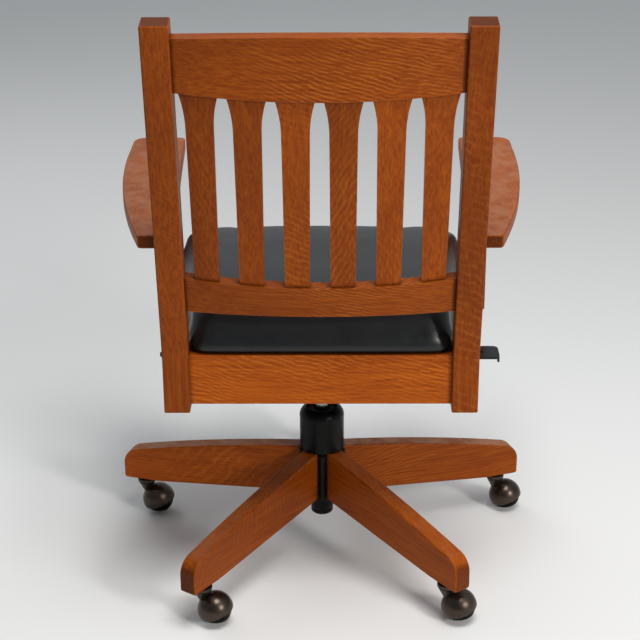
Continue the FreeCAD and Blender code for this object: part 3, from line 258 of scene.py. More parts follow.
oak = {
    "pale": (0.375, 0.091, 0.0040, 1),
    "body": (0.262, 0.049, 0.0020, 1),
    "deep": (0.150, 0.022, 0.0012, 1),
    "poreColor": (0.082, 0.012, 0.0010, 1),
    "ray": (0.500, 0.160, 0.0200, 1),
    "endGrain": 0.42,           # level of the faces that cut the fibres
    "endSpan": (0.75, 0.95),    # how far a normal leans along the grain there
    "specular": 0.08,
    "coat": 0.05,
    "coatRoughness": 0.30,
    "bumpDepth": 0.00010,
    "seedShift": (3.17, 1.73, 2.39),
    # Noises: cells per metre along and across the grain, detail, roughness
    "wander": ((3.0, 5.0, 5.0), 1.0, 0.5),
    "streak": ((6.0, 300.0, 300.0), 3.0, 0.6),
    "broad": ((1.6, 30.0, 30.0), 2.0, 0.5),
    "tick": ((30.0, 560.0, 560.0), 2.0, 0.55),
    "pore": ((90.0, 1100.0, 1100.0), 1.0, 0.5),
    "drift": ((3.0, 7.0, 7.0), 1.0, 0.5),
    "bend": ((13.0, 19.0, 19.0), 2.0, 0.5),
    "jitter": ((50.0, 80.0, 80.0), 2.0, 0.5),
    "broken": ((70.0, 110.0, 110.0), 2.0, 0.5),
    "patch": ((8.0, 12.0, 12.0), 1.0, 0.5),
    "wanderDepth": (0.0, 0.035, 0.035),     # metres
    "bendTurn": 17.0,           # radians that the bend noise adds to the ripples
    "jitterTurn": 4.5,
    # Ramps: from, to, and the values there where they aren't 0 and 1
    "reachRamp": (0.6, 1.2, 1.0, 0.18),
    "patchRamp": (0.34, 0.60, 0.15, 1.0),
    "brokenRamp": (0.32, 0.58, 0.1, 1.0),
    "rayRamp": (0.35, 1.0),
    "troughRamp": (-0.2, -1.0),
    "poreRamp": (0.60, 0.74),
    "streakRamp": (0.28, 0.74),
    "broadRamp": (0.35, 0.75, 0.0, 0.28),
    "darkTickRamp": (0.50, 0.72, 0.0, 0.42),
    "paleTickRamp": (0.46, 0.28, 0.0, 0.30),
    "driftRamp": (0.25, 0.75, 0.88, 1.12),
    "roughnessRamp": (0.3, 0.8, 0.38, 0.48),
    "bodyShare": 0.50,
    "poreShare": 0.42,
    "troughShare": 0.30,
    "rayShare": 0.60,
    "rayGloss": -0.08,
    "streakHeight": 0.5,
    "rayHeight": 0.25,
}

wearAndShade = {
    "rubbed": (0.40, 0.145, 0.040, 1),
    "amount": 0.30,
    "reach": 0.0022,            # metres from an arris
    "arrisRamp": (0.92, 0.45),
    "patch": ((60.0, 60.0, 60.0), 3.0, 0.6),
    "patchRamp": (0.40, 0.68, 0.10, 1.0),
    "jointShadeLevel": 0.28,         # how dark the painted shade along a joint gets
    "jointShadeReach": 0.007,
    "jointShadeSpan": (0.45, 0.92),
    "scuffSheenColor": (0.36, 0.175, 0.095, 1),     # level faces that shoes and sleeves have dulled, lightened further with a painted sheen
    "cloud": ((34.0, 34.0, 34.0), 5.0, 0.65),
    "cloudRamp": (0.36, 0.62, 0.2, 1.0),
    "levelRamp": (0.80, 0.97),
    "samples": 4,
}


# Quarter-sawn oak with the grain along X: fibre streaks, open pores, and the ray figure, a sine of
# x * lean + y + z bent by noise, in patches around one place along the grain
def makeOakGroup():
    group, g, given, out = newGroup(
        "quarter sawn oak",
        [("Vector", "NodeSocketVector", None), ("Facing", "NodeSocketVector", None),
         ("Seed", "NodeSocketFloat", 0.0), ("Tone", "NodeSocketFloat", 1.0),
         ("Figure", "NodeSocketFloat", 0.6), ("Lean", "NodeSocketFloat", 0.6),
         ("Step", "NodeSocketFloat", 0.008), ("Centre", "NodeSocketFloat", 0.0),
         ("Reach", "NodeSocketFloat", 1.0)],
        [("Color", "NodeSocketColor"), ("Roughness", "NodeSocketFloat"), ("Height", "NodeSocketFloat")])
    seed = given.outputs["Seed"]
    shift = g.add("ShaderNodeCombineXYZ")
    for socket, share in zip(shift.inputs, oak["seedShift"]):
        g.value(socket, g.math("MULTIPLY", seed, share))
    base = g.vectorMath("ADD", given.outputs["Vector"], shift.outputs["Vector"])
    # A slow sideways wander of the fibres
    wander = g.noise(base, *oak["wander"], output="Color")
    centred = g.vectorMath("SUBTRACT", wander, (0.5, 0.5, 0.5))
    fibre = g.vectorMath("ADD", base, g.vectorMath("MULTIPLY", centred, oak["wanderDepth"]))
    streak, broad, tick, pore = (g.noise(fibre, *oak[name]) for name in ("streak", "broad", "tick", "pore"))
    drift, bend, jitter, broken, patch = (
        g.noise(base, *oak[name]) for name in ("drift", "bend", "jitter", "broken", "patch"))
    # Ripples of the ray figure
    apart = g.add("ShaderNodeSeparateXYZ")
    g.link(fibre, apart.inputs["Vector"])
    across = g.math("ADD", apart.outputs["Y"], apart.outputs["Z"])
    slant = g.math("ADD", g.math("MULTIPLY", apart.outputs["X"], given.outputs["Lean"]), across)
    turns = g.math("DIVIDE", 2 * math.pi, given.outputs["Step"])
    phase = g.math("ADD", g.math("MULTIPLY", slant, turns), g.math("MULTIPLY", bend, oak["bendTurn"]))
    wave = g.math("SINE", g.math("ADD", phase, g.math("MULTIPLY", jitter, oak["jitterTurn"])))
    place = g.add("ShaderNodeSeparateXYZ")
    g.link(given.outputs["Vector"], place.inputs["Vector"])
    away = g.math("ABSOLUTE", g.math("SUBTRACT", place.outputs["X"], given.outputs["Centre"]))
    near = g.ramp(g.math("DIVIDE", away, given.outputs["Reach"]), *oak["reachRamp"])
    where = g.math("MULTIPLY", g.ramp(patch, *oak["patchRamp"]), g.ramp(broken, *oak["brokenRamp"]))
    where = g.math("MULTIPLY", g.math("MULTIPLY", where, near), given.outputs["Figure"], True)
    rayMask = g.math("MULTIPLY", g.ramp(wave, *oak["rayRamp"]), where)
    troughMask = g.math("MULTIPLY", g.ramp(wave, *oak["troughRamp"]), where)
    poreMask = g.ramp(pore, *oak["poreRamp"])
    # Colour, from the broad streaks to the rays on top
    color = g.mix(g.ramp(streak, *oak["streakRamp"]), oak["deep"], oak["pale"])
    color = g.mix(oak["bodyShare"], color, oak["body"])
    color = g.mix(g.ramp(broad, *oak["broadRamp"]), color, oak["deep"])
    color = g.mix(g.ramp(tick, *oak["darkTickRamp"]), color, oak["deep"])
    color = g.mix(g.ramp(tick, *oak["paleTickRamp"]), color, oak["pale"])
    color = g.mix(g.math("MULTIPLY", poreMask, oak["poreShare"]), color, oak["poreColor"])
    color = g.mix(g.math("MULTIPLY", troughMask, oak["troughShare"]), color, oak["deep"])
    color = g.mix(g.math("MULTIPLY", rayMask, oak["rayShare"]), color, oak["ray"])
    facing = g.add("ShaderNodeSeparateXYZ")
    g.link(given.outputs["Facing"], facing.inputs["Vector"])
    cut = g.ramp(g.math("ABSOLUTE", facing.outputs["X"]), *oak["endSpan"], 1.0, oak["endGrain"])
    level = g.math("MULTIPLY", g.ramp(drift, *oak["driftRamp"]), given.outputs["Tone"])
    g.link(g.times(color, g.math("MULTIPLY", level, cut)), out.inputs["Color"])
    rough = g.math("ADD", g.ramp(streak, *oak["roughnessRamp"]), g.math("MULTIPLY", rayMask, oak["rayGloss"]))
    g.link(rough, out.inputs["Roughness"])
    height = g.math("SUBTRACT", g.math("MULTIPLY", streak, oak["streakHeight"]), poreMask)
    g.link(g.math("ADD", height, g.math("MULTIPLY", rayMask, oak["rayHeight"])), out.inputs["Height"])
    return group


# Arrises rubbed pale, level faces scuffed and given a painted sheen, and joints and inside corners darkened
# with painted shade:
# rays sent into the wood meet a face near an arris, and rays sent out of it meet a face near a joint
def makeWearAndShadeGroup():
    group, g, given, out = newGroup(
        "rubbed arrises and dark joints",
        [("Color", "NodeSocketColor", None), ("Vector", "NodeSocketVector", None),
         ("Facing", "NodeSocketVector", None), ("Scuff", "NodeSocketFloat", 0.0)],
        [("Color", "NodeSocketColor")])
    into = g.add("ShaderNodeAmbientOcclusion", samples=wearAndShade["samples"], inside=True, only_local=True)
    into.inputs["Distance"].default_value = wearAndShade["reach"]
    # Painted shade: where rays sent out of the wood meet another face, joints and inside corners are darkened
    outward = g.add("ShaderNodeAmbientOcclusion", samples=wearAndShade["samples"])
    outward.inputs["Distance"].default_value = wearAndShade["jointShadeReach"]
    arris = g.ramp(into.outputs["AO"], *wearAndShade["arrisRamp"])
    broken = g.ramp(g.noise(given.outputs["Vector"], *wearAndShade["patch"]), *wearAndShade["patchRamp"])
    rubbed = g.math("MULTIPLY", g.math("MULTIPLY", arris, broken), wearAndShade["amount"], True)
    facing = g.add("ShaderNodeSeparateXYZ")
    g.link(given.outputs["Facing"], facing.inputs["Vector"])
    # Painted sheen, partly scuffing: upward faces lighten towards a greyish pink in clouds
    cloud = g.ramp(g.noise(given.outputs["Vector"], *wearAndShade["cloud"]), *wearAndShade["cloudRamp"])
    level = g.math("MULTIPLY", g.ramp(facing.outputs["Z"], *wearAndShade["levelRamp"]), cloud)
    scuffSheen = g.math("MULTIPLY", level, given.outputs["Scuff"], True)
    color = g.mix(rubbed, g.mix(scuffSheen, given.outputs["Color"], wearAndShade["scuffSheenColor"]), wearAndShade["rubbed"])
    jointShade = g.ramp(outward.outputs["AO"], *wearAndShade["jointShadeSpan"], wearAndShade["jointShadeLevel"], 1.0)
    g.link(g.times(color, jointShade), out.inputs["Color"])
    return group


# For each wooden piece: turn in degrees that brings the grain onto X, tone, the ray figure's strength,
# lean, step in metres and where along the grain it lies, and how scuffed its level faces are, with a painted
# sheen
oakPieces = {
    "rear_post_left": {"turn": (0, 90, 0), "tone": 0.86, "figure": 0.15, "lean": 1.2, "step": 0.012},
    "rear_post_right": {"turn": (0, 90, 0), "tone": 0.84, "figure": 0.40, "lean": 2.2, "step": 0.034},
    "front_post": {"turn": (0, 90, 0), "tone": 0.86, "figure": 0.3, "lean": 1.6, "step": 0.016},
    "back_slat_1": {"turn": (0, 90, 0), "tone": 0.92, "figure": 0.15, "lean": 0.5, "step": 0.012},
    "back_slat_2": {"turn": (0, 90, 0), "tone": 1.04, "figure": 0.15, "lean": 0.4, "step": 0.010},
    "back_slat_3": {"turn": (0, 90, 0), "tone": 0.88, "figure": 0.50, "lean": -0.9, "step": 0.011},
    "back_slat_4": {"turn": (0, 90, 0), "tone": 0.97, "figure": 0.48, "lean": 2.6, "step": 0.028},
    "back_slat_5": {"turn": (0, 90, 0), "tone": 0.94, "figure": 0.12, "lean": 0.5, "step": 0.012},
    "back_slat_6": {"turn": (0, 90, 0), "tone": 0.84, "figure": 0.2, "lean": 0.5, "step": 0.012},
    "crest_rail": {"turn": (0, 0, 0), "tone": 1.0, "figure": 0.9, "lean": -0.42, "step": 0.0075,
                   "centre": -0.06, "reach": 0.15},
    "lower_back_rail": {"turn": (0, 0, 0), "tone": 0.85, "figure": 0.75, "lean": -0.35, "step": 0.0065,
                        "centre": -0.08, "reach": 0.14},
    "rear_seat_rail": {"turn": (0, 0, 0), "tone": 1.18, "figure": 0.60, "lean": -0.30, "step": 0.0070},
    "front_seat_rail": {"turn": (0, 0, 0), "tone": 1.06, "figure": 0.6, "lean": 0.45, "step": 0.0075},
    "side_seat_rail": {"turn": (0, 0, 90), "tone": 1.0, "figure": 0.6, "lean": 0.45, "step": 0.0075},
    "arm": {"turn": (0, 0, 90), "tone": 1.05, "figure": 0.25, "lean": 0.7, "step": 0.009,
            "scuffSheen": 0.40},
    "base_leg_1": {"tone": 0.88, "figure": 0.35, "lean": 0.8, "step": 0.012, "scuffSheen": 0.5},
    "base_leg_2": {"tone": 1.30, "figure": 0.35, "lean": 1.0, "step": 0.022, "scuffSheen": 0.8},
    "base_leg_3": {"tone": 0.80, "figure": 0.22, "lean": 3.0, "step": 0.034, "scuffSheen": 0.10},
    "base_leg_4": {"tone": 1.17, "figure": 0.15, "lean": 0.5, "step": 0.010, "scuffSheen": 0.10},
    "base_leg_5": {"tone": 0.96, "figure": 0.40, "lean": -0.25, "step": 0.008, "scuffSheen": 0.8},
}

legAngle = {"first": 271.2, "step": 72.0}   # degrees


def oakMaterial(name, turn, seed, piece):
    material, g, shader = newMaterial(name)
    coords = g.add("ShaderNodeTexCoord")
    turned = []
    for output in ("Object", "Normal"):
        mapping = g.add("ShaderNodeMapping", vector_type="VECTOR")
        mapping.inputs["Rotation"].default_value = [math.radians(a) for a in turn]
        g.link(coords.outputs[output], mapping.inputs["Vector"])
        turned.append(mapping.outputs["Vector"])
    grain = placed(g, oakGroup, Vector=turned[0], Facing=turned[1], Seed=seed, Tone=piece["tone"],
                   Figure=piece["figure"], Lean=piece["lean"], Step=piece["step"],
                   Centre=piece.get("centre", 0.0), Reach=piece.get("reach", 1.0))
    wornAndShaded = placed(g, wearAndShadeGroup, Color=grain.outputs["Color"], Vector=coords.outputs["Object"],
                  Facing=coords.outputs["Normal"], Scuff=piece.get("scuffSheen", 0.0))
    g.link(wornAndShaded.outputs["Color"], shader.inputs["Base Color"])
    g.link(grain.outputs["Roughness"], shader.inputs["Roughness"])
    shader.inputs["Specular IOR Level"].default_value = oak["specular"]
    shader.inputs["Coat Weight"].default_value = oak["coat"]
    shader.inputs["Coat Roughness"].default_value = oak["coatRoughness"]
    bumpTo(g, shader, grain.outputs["Height"], oak["bumpDepth"])
    return material


# Every piece takes its grain from another place in the same noise
seeds = {"first": 1.0, "step": 1.37}


def dressOak():
    seed = seeds["first"]
    for name, obj in sorted(nodes.items()):
        for start, piece in oakPieces.items():
            if name.startswith(start):
                turn = piece.get("turn")
                if turn is None:
                    turn = (0, 0, -(legAngle["first"] + (int(name[-1]) - 1) * legAngle["step"]))
                assign(obj, oakMaterial("oak " + name, turn, seed, piece))
                seed += seeds["step"]
                break


# Leather

leather = {
    "color": (0.0085, 0.0092, 0.0100, 1),
    "pale": (0.0125, 0.0135, 0.0145, 1),
    "grain": 780.0,             # cells per metre
    "smoothness": 0.35,
    "domeRamp": (0.05, 0.75, 1.0, 0.0),     # from the middle of a cell to its creases
    "domeGloss": -0.06,
    "fine": ((900.0, 900.0, 900.0), 3.0, 0.6),
    "fineHeight": 0.35,
    "slow": ((9.0, 9.0, 9.0), 3.0, 0.55),
    "paleRamp": (0.3, 0.7, 0.0, 0.6),
    "roughnessRamp": (0.3, 0.7, 0.30, 0.37),
    "specular": 0.33,
    "bumpDepth": 0.00014,
    "bumpStrength": 0.45,
}


# Pebbled hide: soft cells with creases between them, and slow patches
def makeLeatherGroup():
    group, g, given, out = newGroup(
        "pebbled hide", [("Vector", "NodeSocketVector", None), ("Cells", "NodeSocketFloat", 600.0)],
        [("Color", "NodeSocketColor"), ("Roughness", "NodeSocketFloat"), ("Height", "NodeSocketFloat")])
    cells = g.add("ShaderNodeTexVoronoi", feature="SMOOTH_F1")
    g.link(given.outputs["Vector"], cells.inputs["Vector"])
    g.link(given.outputs["Cells"], cells.inputs["Scale"])
    cells.inputs["Smoothness"].default_value = leather["smoothness"]
    fine = g.noise(given.outputs["Vector"], *leather["fine"])
    slow = g.noise(given.outputs["Vector"], *leather["slow"])
    dome = g.ramp(cells.outputs["Distance"], *leather["domeRamp"])
    color = g.mix(g.ramp(slow, *leather["paleRamp"]), leather["color"], leather["pale"])
    g.link(color, out.inputs["Color"])
    gloss = g.math("MULTIPLY", dome, leather["domeGloss"])
    g.link(g.math("ADD", g.ramp(slow, *leather["roughnessRamp"]), gloss), out.inputs["Roughness"])
    g.link(g.math("ADD", dome, g.math("MULTIPLY", fine, leather["fineHeight"])), out.inputs["Height"])
    return group


def leatherMaterial():
    material, g, shader = newMaterial("charcoal leather")
    coords = g.add("ShaderNodeTexCoord")
    hide = placed(g, leatherGroup, Vector=coords.outputs["Object"], Cells=leather["grain"])
    g.link(hide.outputs["Color"], shader.inputs["Base Color"])
    g.link(hide.outputs["Roughness"], shader.inputs["Roughness"])
    shader.inputs["Specular IOR Level"].default_value = leather["specular"]
    bumpTo(g, shader, hide.outputs["Height"], leather["bumpDepth"], leather["bumpStrength"])
    return material


# Metals and plastics

finishes = {
    # colour, metallic, roughness low and high, noise scale, bump depth, specular level
    "black steel": ((0.0050, 0.0050, 0.0048, 1), 0.0, 0.34, 0.46, 900.0, 0.00010, 0.14),
    "black plastic": ((0.0035, 0.0035, 0.0033, 1), 0.0, 0.22, 0.30, 1400.0, 0.00003, 0.20),
    "cover plastic": ((0.0035, 0.0035, 0.0033, 1), 0.0, 0.30, 0.38, 1400.0, 0.00003, 0.12),
    "bush plastic": ((0.045, 0.045, 0.045, 1), 0.0, 0.45, 0.55, 900.0, 0.00005, 0.4),
    "cylinder steel": ((0.36, 0.35, 0.33, 1), 1.0, 0.20, 0.32, 500.0, 0.00003, 0.5),
    "spring steel": ((0.030, 0.030, 0.032, 1), 0.6, 0.30, 0.42, 800.0, 0.00005, 0.4),
    "antique bronze": ((0.066, 0.049, 0.038, 1), 0.90, 0.26, 0.42, 260.0, 0.00006, 0.4),
    "wheel plastic": ((0.0045, 0.0043, 0.0042, 1), 0.0, 0.38, 0.55, 700.0, 0.00008, 0.22),
    "zinc steel": ((0.55, 0.54, 0.50, 1), 1.0, 0.28, 0.42, 600.0, 0.00004, 0.5),
    "frame wood": ((0.40, 0.24, 0.12, 1), 0.0, 0.55, 0.70, 90.0, 0.00015, 0.3),
    # Seat board near black: painted shade where the plywood board shows beside the cushion
    "shade black board": ((0.010, 0.010, 0.010, 1), 0.0, 0.75, 0.85, 1600.0, 0.00010, 0.2),
    "foam": ((0.75, 0.66, 0.42, 1), 0.0, 0.85, 0.95, 1500.0, 0.0004, 0.2),
}

finishOf = {
    "base_hub": "black steel", "column_tube": "black steel", "mechanism_housing": "black steel",
    "tilt_top_plate": "black steel", "height_lever_rod": "black steel", "tilt_lock_rod": "black steel",
    "column_cover": "cover plastic", "height_lever_paddle": "black plastic",
    "tilt_lock_grip": "black plastic", "tension_knob": "black plastic", "guide_bush": "bush plastic",
    "gas_cylinder": "cylinder steel", "piston_rod": "cylinder steel", "tilt_spring": "spring steel",
    "caster_hood": "antique bronze", "caster_wheel": "wheel plastic", "corner_blocks": "frame wood",
    "seat_bearers": "frame wood", "seat_board": "shade black board", "seat_foam": "foam",
    "release_pin": "zinc steel", "swivel_bearing": "zinc steel", "leg_fixings": "zinc steel",
    "caster_sockets": "zinc steel", "tilt_pivot_pin": "zinc steel", "tension_bolt": "zinc steel",
    "plate_bolts": "zinc steel", "wood_screws": "zinc steel",
}

handled = {
    "fineDetail": 3.0,
    "slow": ((24.0, 24.0, 24.0), 4.0, 0.6),
    "dullRamp": (0.35, 0.7),
    "levelRamp": (0.3, 0.75, 0.88, 1.16),
}


# Fine cast, moulded or brushed texture with slow dull patches
def makeSurfaceGroup():
    group, g, given, out = newGroup(
        "working surface",
        [("Vector", "NodeSocketVector", None), ("Scale", "NodeSocketFloat", 800.0),
         ("Color", "NodeSocketColor", (0.1, 0.1, 0.1, 1)), ("Low", "NodeSocketFloat", 0.3),
         ("High", "NodeSocketFloat", 0.4)],
        [("Color", "NodeSocketColor"), ("Roughness", "NodeSocketFloat"), ("Height", "NodeSocketFloat")])
    fine = g.add("ShaderNodeTexNoise")
    g.link(given.outputs["Vector"], fine.inputs["Vector"])
    g.link(given.outputs["Scale"], fine.inputs["Scale"])
    fine.inputs["Detail"].default_value = handled["fineDetail"]
    slow = g.noise(given.outputs["Vector"], *handled["slow"])
    dull = g.ramp(slow, *handled["dullRamp"])
    level = g.ramp(slow, *handled["levelRamp"])
    g.link(g.times(given.outputs["Color"], level), out.inputs["Color"])
    span = g.math("SUBTRACT", given.outputs["High"], given.outputs["Low"])
    g.link(g.math("ADD", given.outputs["Low"], g.math("MULTIPLY", span, dull)), out.inputs["Roughness"])
    g.link(fine.outputs["Fac"], out.inputs["Height"])
    return group


def finishMaterial(name):
    color, metallic, low, high, scale, depth, specular = finishes[name]
    material, g, shader = newMaterial(name)
    coords = g.add("ShaderNodeTexCoord")
    surface = placed(g, surfaceGroup, Vector=coords.outputs["Object"], Scale=scale, Color=color,
                     Low=low, High=high)
    g.link(surface.outputs["Color"], shader.inputs["Base Color"])
    g.link(surface.outputs["Roughness"], shader.inputs["Roughness"])
    shader.inputs["Metallic"].default_value = metallic
    shader.inputs["Specular IOR Level"].default_value = specular
    bumpTo(g, shader, surface.outputs["Height"], depth)
    return material


def dressMetal():
    made = {name: finishMaterial(name) for name in finishes}
    for name, obj in nodes.items():
        for start, finish in finishOf.items():
            if name.startswith(start):
                assign(obj, made[finish])
                break
    return made


# Closed tubes

# Grid of rows by points around: quads between each row and the next, then a face over either end
def tubeFaces(rows, around):
    grid = np.arange(rows * around).reshape(rows, around)
    beside = np.roll(grid, -1, axis=1)
    quads = np.stack([grid[:-1], beside[:-1], beside[1:], grid[1:]], 2).reshape(-1, 4)
    return quads.tolist() + [grid[0, ::-1].tolist(), grid[-1].tolist()]


def newPiece(name, points, faces):
    mesh = bpy.data.meshes.new(name)
    mesh.from_pydata(points.tolist(), [], faces)
    obj = bpy.data.objects.new(name, mesh)
    scene.collection.objects.link(obj)
    return obj


# Tension spring, which shortens as its cup rises; here it is built as one fixed coil the height of the tilt
# spring part

spring = {
    "coilRadius": 0.0125,
    "wireRadius": 0.0025,
    "turns": 7,
    "stepsPerTurn": 40,
    "wireSides": 14,
    "travel": 0.0111,           # of the cup, at the seat's farthest tilt
}


# A helix at coilRadius around the bolt that climbs evenly with its angle. Round it, square to the way
# along, lies a circle of wire points: wireRadius * (cosine * outward + sine * across)
def makeSpring(material):
    low, high = (np.array(corner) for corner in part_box("tilt_spring"))
    steps = spring["turns"] * spring["stepsPerTurn"] + 1
    sides = spring["wireSides"]
    wire = spring["wireRadius"]
    angle = np.linspace(0, 2 * math.pi * spring["turns"], steps)
    rise = (high[2] - low[2] - 2 * wire) / angle[-1]
    level = np.zeros(steps)
    radial = np.stack([np.cos(angle), np.sin(angle), level], 1)
    along = np.stack([-np.sin(angle), np.cos(angle), level + rise / spring["coilRadius"]], 1)
    along /= np.linalg.norm(along, axis=1, keepdims=True)
    across = np.cross(along, radial)
    foot = np.array([(low[0] + high[0]) / 2, (low[1] + high[1]) / 2, low[2] + wire])
    middle = foot + spring["coilRadius"] * radial + np.stack([level, level, rise * angle], 1)
    turn = (2 * math.pi * np.arange(sides) / sides)[None, :, None]
    points = middle[:, None] + wire * (np.cos(turn) * radial[:, None] + np.sin(turn) * across[:, None])
    obj = newPiece("tension_spring", points.reshape(-1, 3), tubeFaces(steps, sides))
    obj.data.shade_smooth()
    assign(obj, material)
    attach(obj, "carrier")
    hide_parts("tilt_spring")
    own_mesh(obj)


# Cushion

cushion = {
    "rearY": 0.2255, "frontY": -0.2315,
    "rearHalf": 0.1995, "frontHalf": 0.2485,
    "seamZ": 0.4503, "height": 0.0780,
    "corner": 0.036,
    "cornerGrowth": 0.35,
    "cornerPoints": 24,
    "rearSideShare": 0.12,      # inset of the sides above the bulge, as a share of the front's inset
    "frontSideShare": 0.35,
    # Side profile from the foot over the bulge to the crown: shares of the height, and of the reach inwards
    "reach": 0.150,
    "heights": (0.0, 0.05, 0.11, 0.18, 0.26, 0.36, 0.48, 0.60, 0.72, 0.82, 0.90, 0.95, 0.98, 1.0),
    "frontInsets": (-0.016, -0.022, -0.028, -0.029, -0.028, -0.013, 0.013,
                    0.045, 0.095, 0.17, 0.28, 0.42, 0.64, 1.0),
    "rearInsets": (-0.014, -0.025, -0.029, -0.028, -0.017, 0.004, 0.033,
                   0.061, 0.093, 0.13, 0.18, 0.25, 0.41, 1.0),
    "frontDrop": 0.001,         # how far the top falls at the front, more at its corners
    "cornerDrop": 0.012,
    "cornerPower": 2.3,
    "dropReach": 0.12,
    "around": 420,
    "rings": 60,
    "voxel": 0.005,
    # Leather under pressure
    "quality": 6,
    "mass": 0.35,
    "stretch": 30,
    "shear": 12,
    "bending": 3.0,
    "pressure": 4.0,
    "frames": 20,
    "pinnedBand": 0.006,        # held along the seat frame
    "cap": 0.003,               # metres that a point may swell
    "smoothing": 0.5,
    "smoothings": 6,
    # Room left by the seat board, the rail behind and the posts
    "lowest": 0.4502,
    "farthestRear": 0.2303,
    "farthestFront": -0.2362,
    "rearRoom": 0.2020,         # half width between the rear posts
    "frontRoom": 0.2530,
    "narrowing": 0.010,
}


# Arc of the given radius that touches both lines from a corner to its neighbours, its centre on the
# bisector at radius / sine of half the corner's angle
def cornerArc(corner, before, after, radius):
    back = (before - corner) / np.linalg.norm(before - corner)
    on = (after - corner) / np.linalg.norm(after - corner)
    half = math.acos(float(np.dot(back, on))) / 2
    bisector = (back + on) / np.linalg.norm(back + on)
    centre = corner + bisector * radius / math.sin(half)
    start = corner + back * radius / math.tan(half) - centre
    end = corner + on * radius / math.tan(half) - centre
    first = math.atan2(start[1], start[0])
    last = math.atan2(end[1], end[0])
    if last < first:
        last += 2 * math.pi
    angles = np.linspace(first, last, cushion["cornerPoints"])
    return centre + radius * np.stack([np.cos(angles), np.sin(angles)], 1)


# Points around a trapezoid whose corners are arcs, spaced evenly by length; the insets move its sides in
def roundedTrapezoid(inset, rearInset):
    rear = cushion["rearHalf"] - inset * (1 if inset < 0 else cushion["rearSideShare"])
    front = cushion["frontHalf"] - inset * (1 if inset < 0 else cushion["frontSideShare"])
    rearY = cushion["rearY"] - rearInset
    frontY = cushion["frontY"] + inset
    corners = np.array([(-rear, rearY), (-front, frontY), (front, frontY), (rear, rearY)])
    befores, afters = np.roll(corners, 1, axis=0), np.roll(corners, -1, axis=0)
    radius = cushion["corner"] + cushion["cornerGrowth"] * inset
    line = np.concatenate([cornerArc(*three, radius) for three in zip(corners, befores, afters)])
    closed = np.concatenate([line, line[:1]])
    length = np.concatenate([[0], np.cumsum(np.linalg.norm(np.diff(closed, axis=0), axis=1))])
    wanted = np.linspace(0, length[-1], cushion["around"], endpoint=False)
    return np.stack([np.interp(wanted, length, closed[:, k]) for k in range(2)], 1)


# Closed form of rings around the rounded trapezoid. Each ring is inset and lifted along the side profile,
# and its points then sink by drop * share of the height * (nearness to the front) squared, where drop
# grows from frontDrop at the middle by cornerDrop * (share of the half width) to the cornerPower
def cushionStart():
    shares = np.linspace(0, 1, cushion["rings"])
    knots = np.linspace(0, 1, len(cushion["heights"]))
    heights = cushion["seamZ"] + cushion["height"] * np.interp(shares, knots, cushion["heights"])
    insets = np.interp(shares, knots, cushion["frontInsets"]) * cushion["reach"]
    rearInsets = np.interp(shares, knots, cushion["rearInsets"]) * cushion["reach"]
    outlines = np.concatenate([roundedTrapezoid(*pair) for pair in zip(insets, rearInsets)])
    points = np.concatenate([outlines, np.repeat(heights, cushion["around"])[:, None]], 1)
    share = np.clip((points[:, 2] - cushion["seamZ"]) / cushion["height"], 0, 1)
    ahead = np.clip(1 - (points[:, 1] - cushion["frontY"]) / cushion["dropReach"], 0, 1)
    across = np.abs(points[:, 0]) / cushion["frontHalf"]
    drop = cushion["frontDrop"] + cushion["cornerDrop"] * across ** cushion["cornerPower"]
    points[:, 2] -= drop * share * ahead ** 2
    return newPiece("leather_cushion", points, tubeFaces(cushion["rings"], cushion["around"]))


# Keeps the evaluated mesh in place of the modifiers
def applied(obj):
    depsgraph = bpy.context.evaluated_depsgraph_get()
    mesh = bpy.data.meshes.new_from_object(obj.evaluated_get(depsgraph))
    obj.modifiers.clear()
    obj.data = mesh


def coordinates(mesh):
    flat = np.empty(len(mesh.vertices) * 3)
    mesh.vertices.foreach_get("co", flat)
    return flat.reshape(-1, 3)


# Half width left at y, which narrows where the rear posts begin
def sideRoom(y):
    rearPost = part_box("rear_post_left")[0][1]
    places = (rearPost - cushion["narrowing"], rearPost)
    return np.interp(y, places, (cushion["frontRoom"], cushion["rearRoom"]))


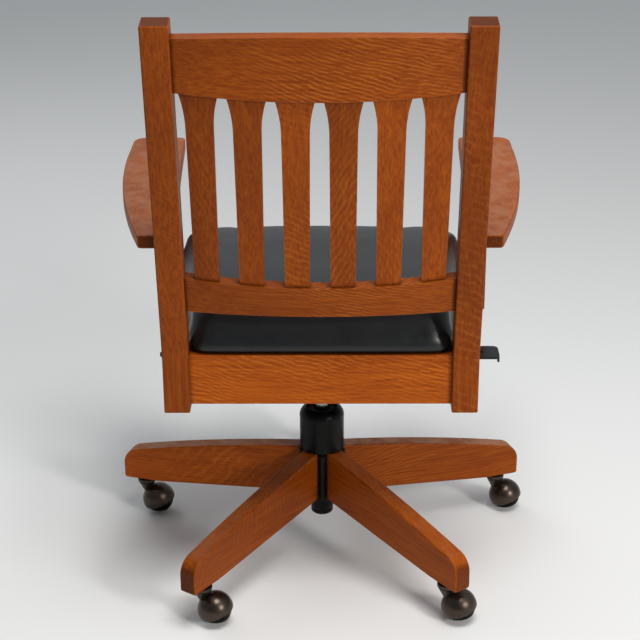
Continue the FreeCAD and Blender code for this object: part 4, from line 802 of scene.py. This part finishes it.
# Swells the form as cloth under pressure from inside, held along its foot, for the given frames
def inflate(obj, start):
    pinned = obj.vertex_groups.new(name="pinned")
    low = np.nonzero(start[:, 2] < cushion["seamZ"] + cushion["pinnedBand"])[0]
    pinned.add(low.tolist(), 1.0, "REPLACE")
    cloth = obj.modifiers.new("cloth", "CLOTH")
    settings = cloth.settings
    settings.quality = cushion["quality"]
    settings.mass = cushion["mass"]
    settings.tension_stiffness = cushion["stretch"]
    settings.compression_stiffness = cushion["stretch"]
    settings.shear_stiffness = cushion["shear"]
    settings.bending_stiffness = cushion["bending"]
    settings.use_pressure = True
    settings.uniform_pressure_force = cushion["pressure"]
    settings.vertex_group_mass = "pinned"
    settings.effector_weights.gravity = 0
    cloth.point_cache.frame_start = 1
    cloth.point_cache.frame_end = cushion["frames"]
    for number in range(1, cushion["frames"] + 1):
        scene.frame_set(number)
    applied(obj)
    scene.frame_set(1)


# start + move * smaller of 1 and cap / length of the move, kept inside the room left for the cushion
def fitted(start, swollen):
    move = swollen - start
    length = np.linalg.norm(move, axis=1, keepdims=True)
    print("cushion points moved up to %.1f mm" % (length.max() * 1000))
    points = start + move * np.minimum(1, cushion["cap"] / np.maximum(length, 1e-9))
    side = sideRoom(points[:, 1])
    points[:, 0] = np.clip(points[:, 0], -side, side)
    points[:, 1] = np.clip(points[:, 1], cushion["farthestFront"], cushion["farthestRear"])
    points[:, 2] = np.maximum(points[:, 2], cushion["lowest"])
    return points


def makeCushion():
    obj = cushionStart()
    bm = bmesh.new()
    bm.from_mesh(obj.data)
    bmesh.ops.recalc_face_normals(bm, faces=bm.faces)
    bm.to_mesh(obj.data)
    bm.free()
    remesh = obj.modifiers.new("remesh", "REMESH")
    remesh.mode = "VOXEL"
    remesh.voxel_size = cushion["voxel"]
    applied(obj)
    start = coordinates(obj.data)
    inflate(obj, start)
    obj.data.vertices.foreach_set("co", fitted(start, coordinates(obj.data)).ravel())
    obj.data.update()
    obj.vertex_groups.clear()
    smooth = obj.modifiers.new("smooth", "SMOOTH")
    smooth.factor = cushion["smoothing"]
    smooth.iterations = cushion["smoothings"]
    divide = obj.modifiers.new("divide", "SUBSURF")
    divide.levels = 1
    divide.render_levels = 1
    applied(obj)
    obj.data.shade_smooth()
    assign(obj, leatherMaterial())
    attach(obj, "seat")
    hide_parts("seat_cover", "seat_foam")


makeView()
makeStudio()
print("camera, light and floor ready")
oakGroup = makeOakGroup()
wearAndShadeGroup = makeWearAndShadeGroup()
leatherGroup = makeLeatherGroup()
surfaceGroup = makeSurfaceGroup()
made = dressMetal()
dressOak()
print("materials ready")
makeSpring(made["spring steel"])
print("spring ready")
makeCushion()
print("cushion ready")
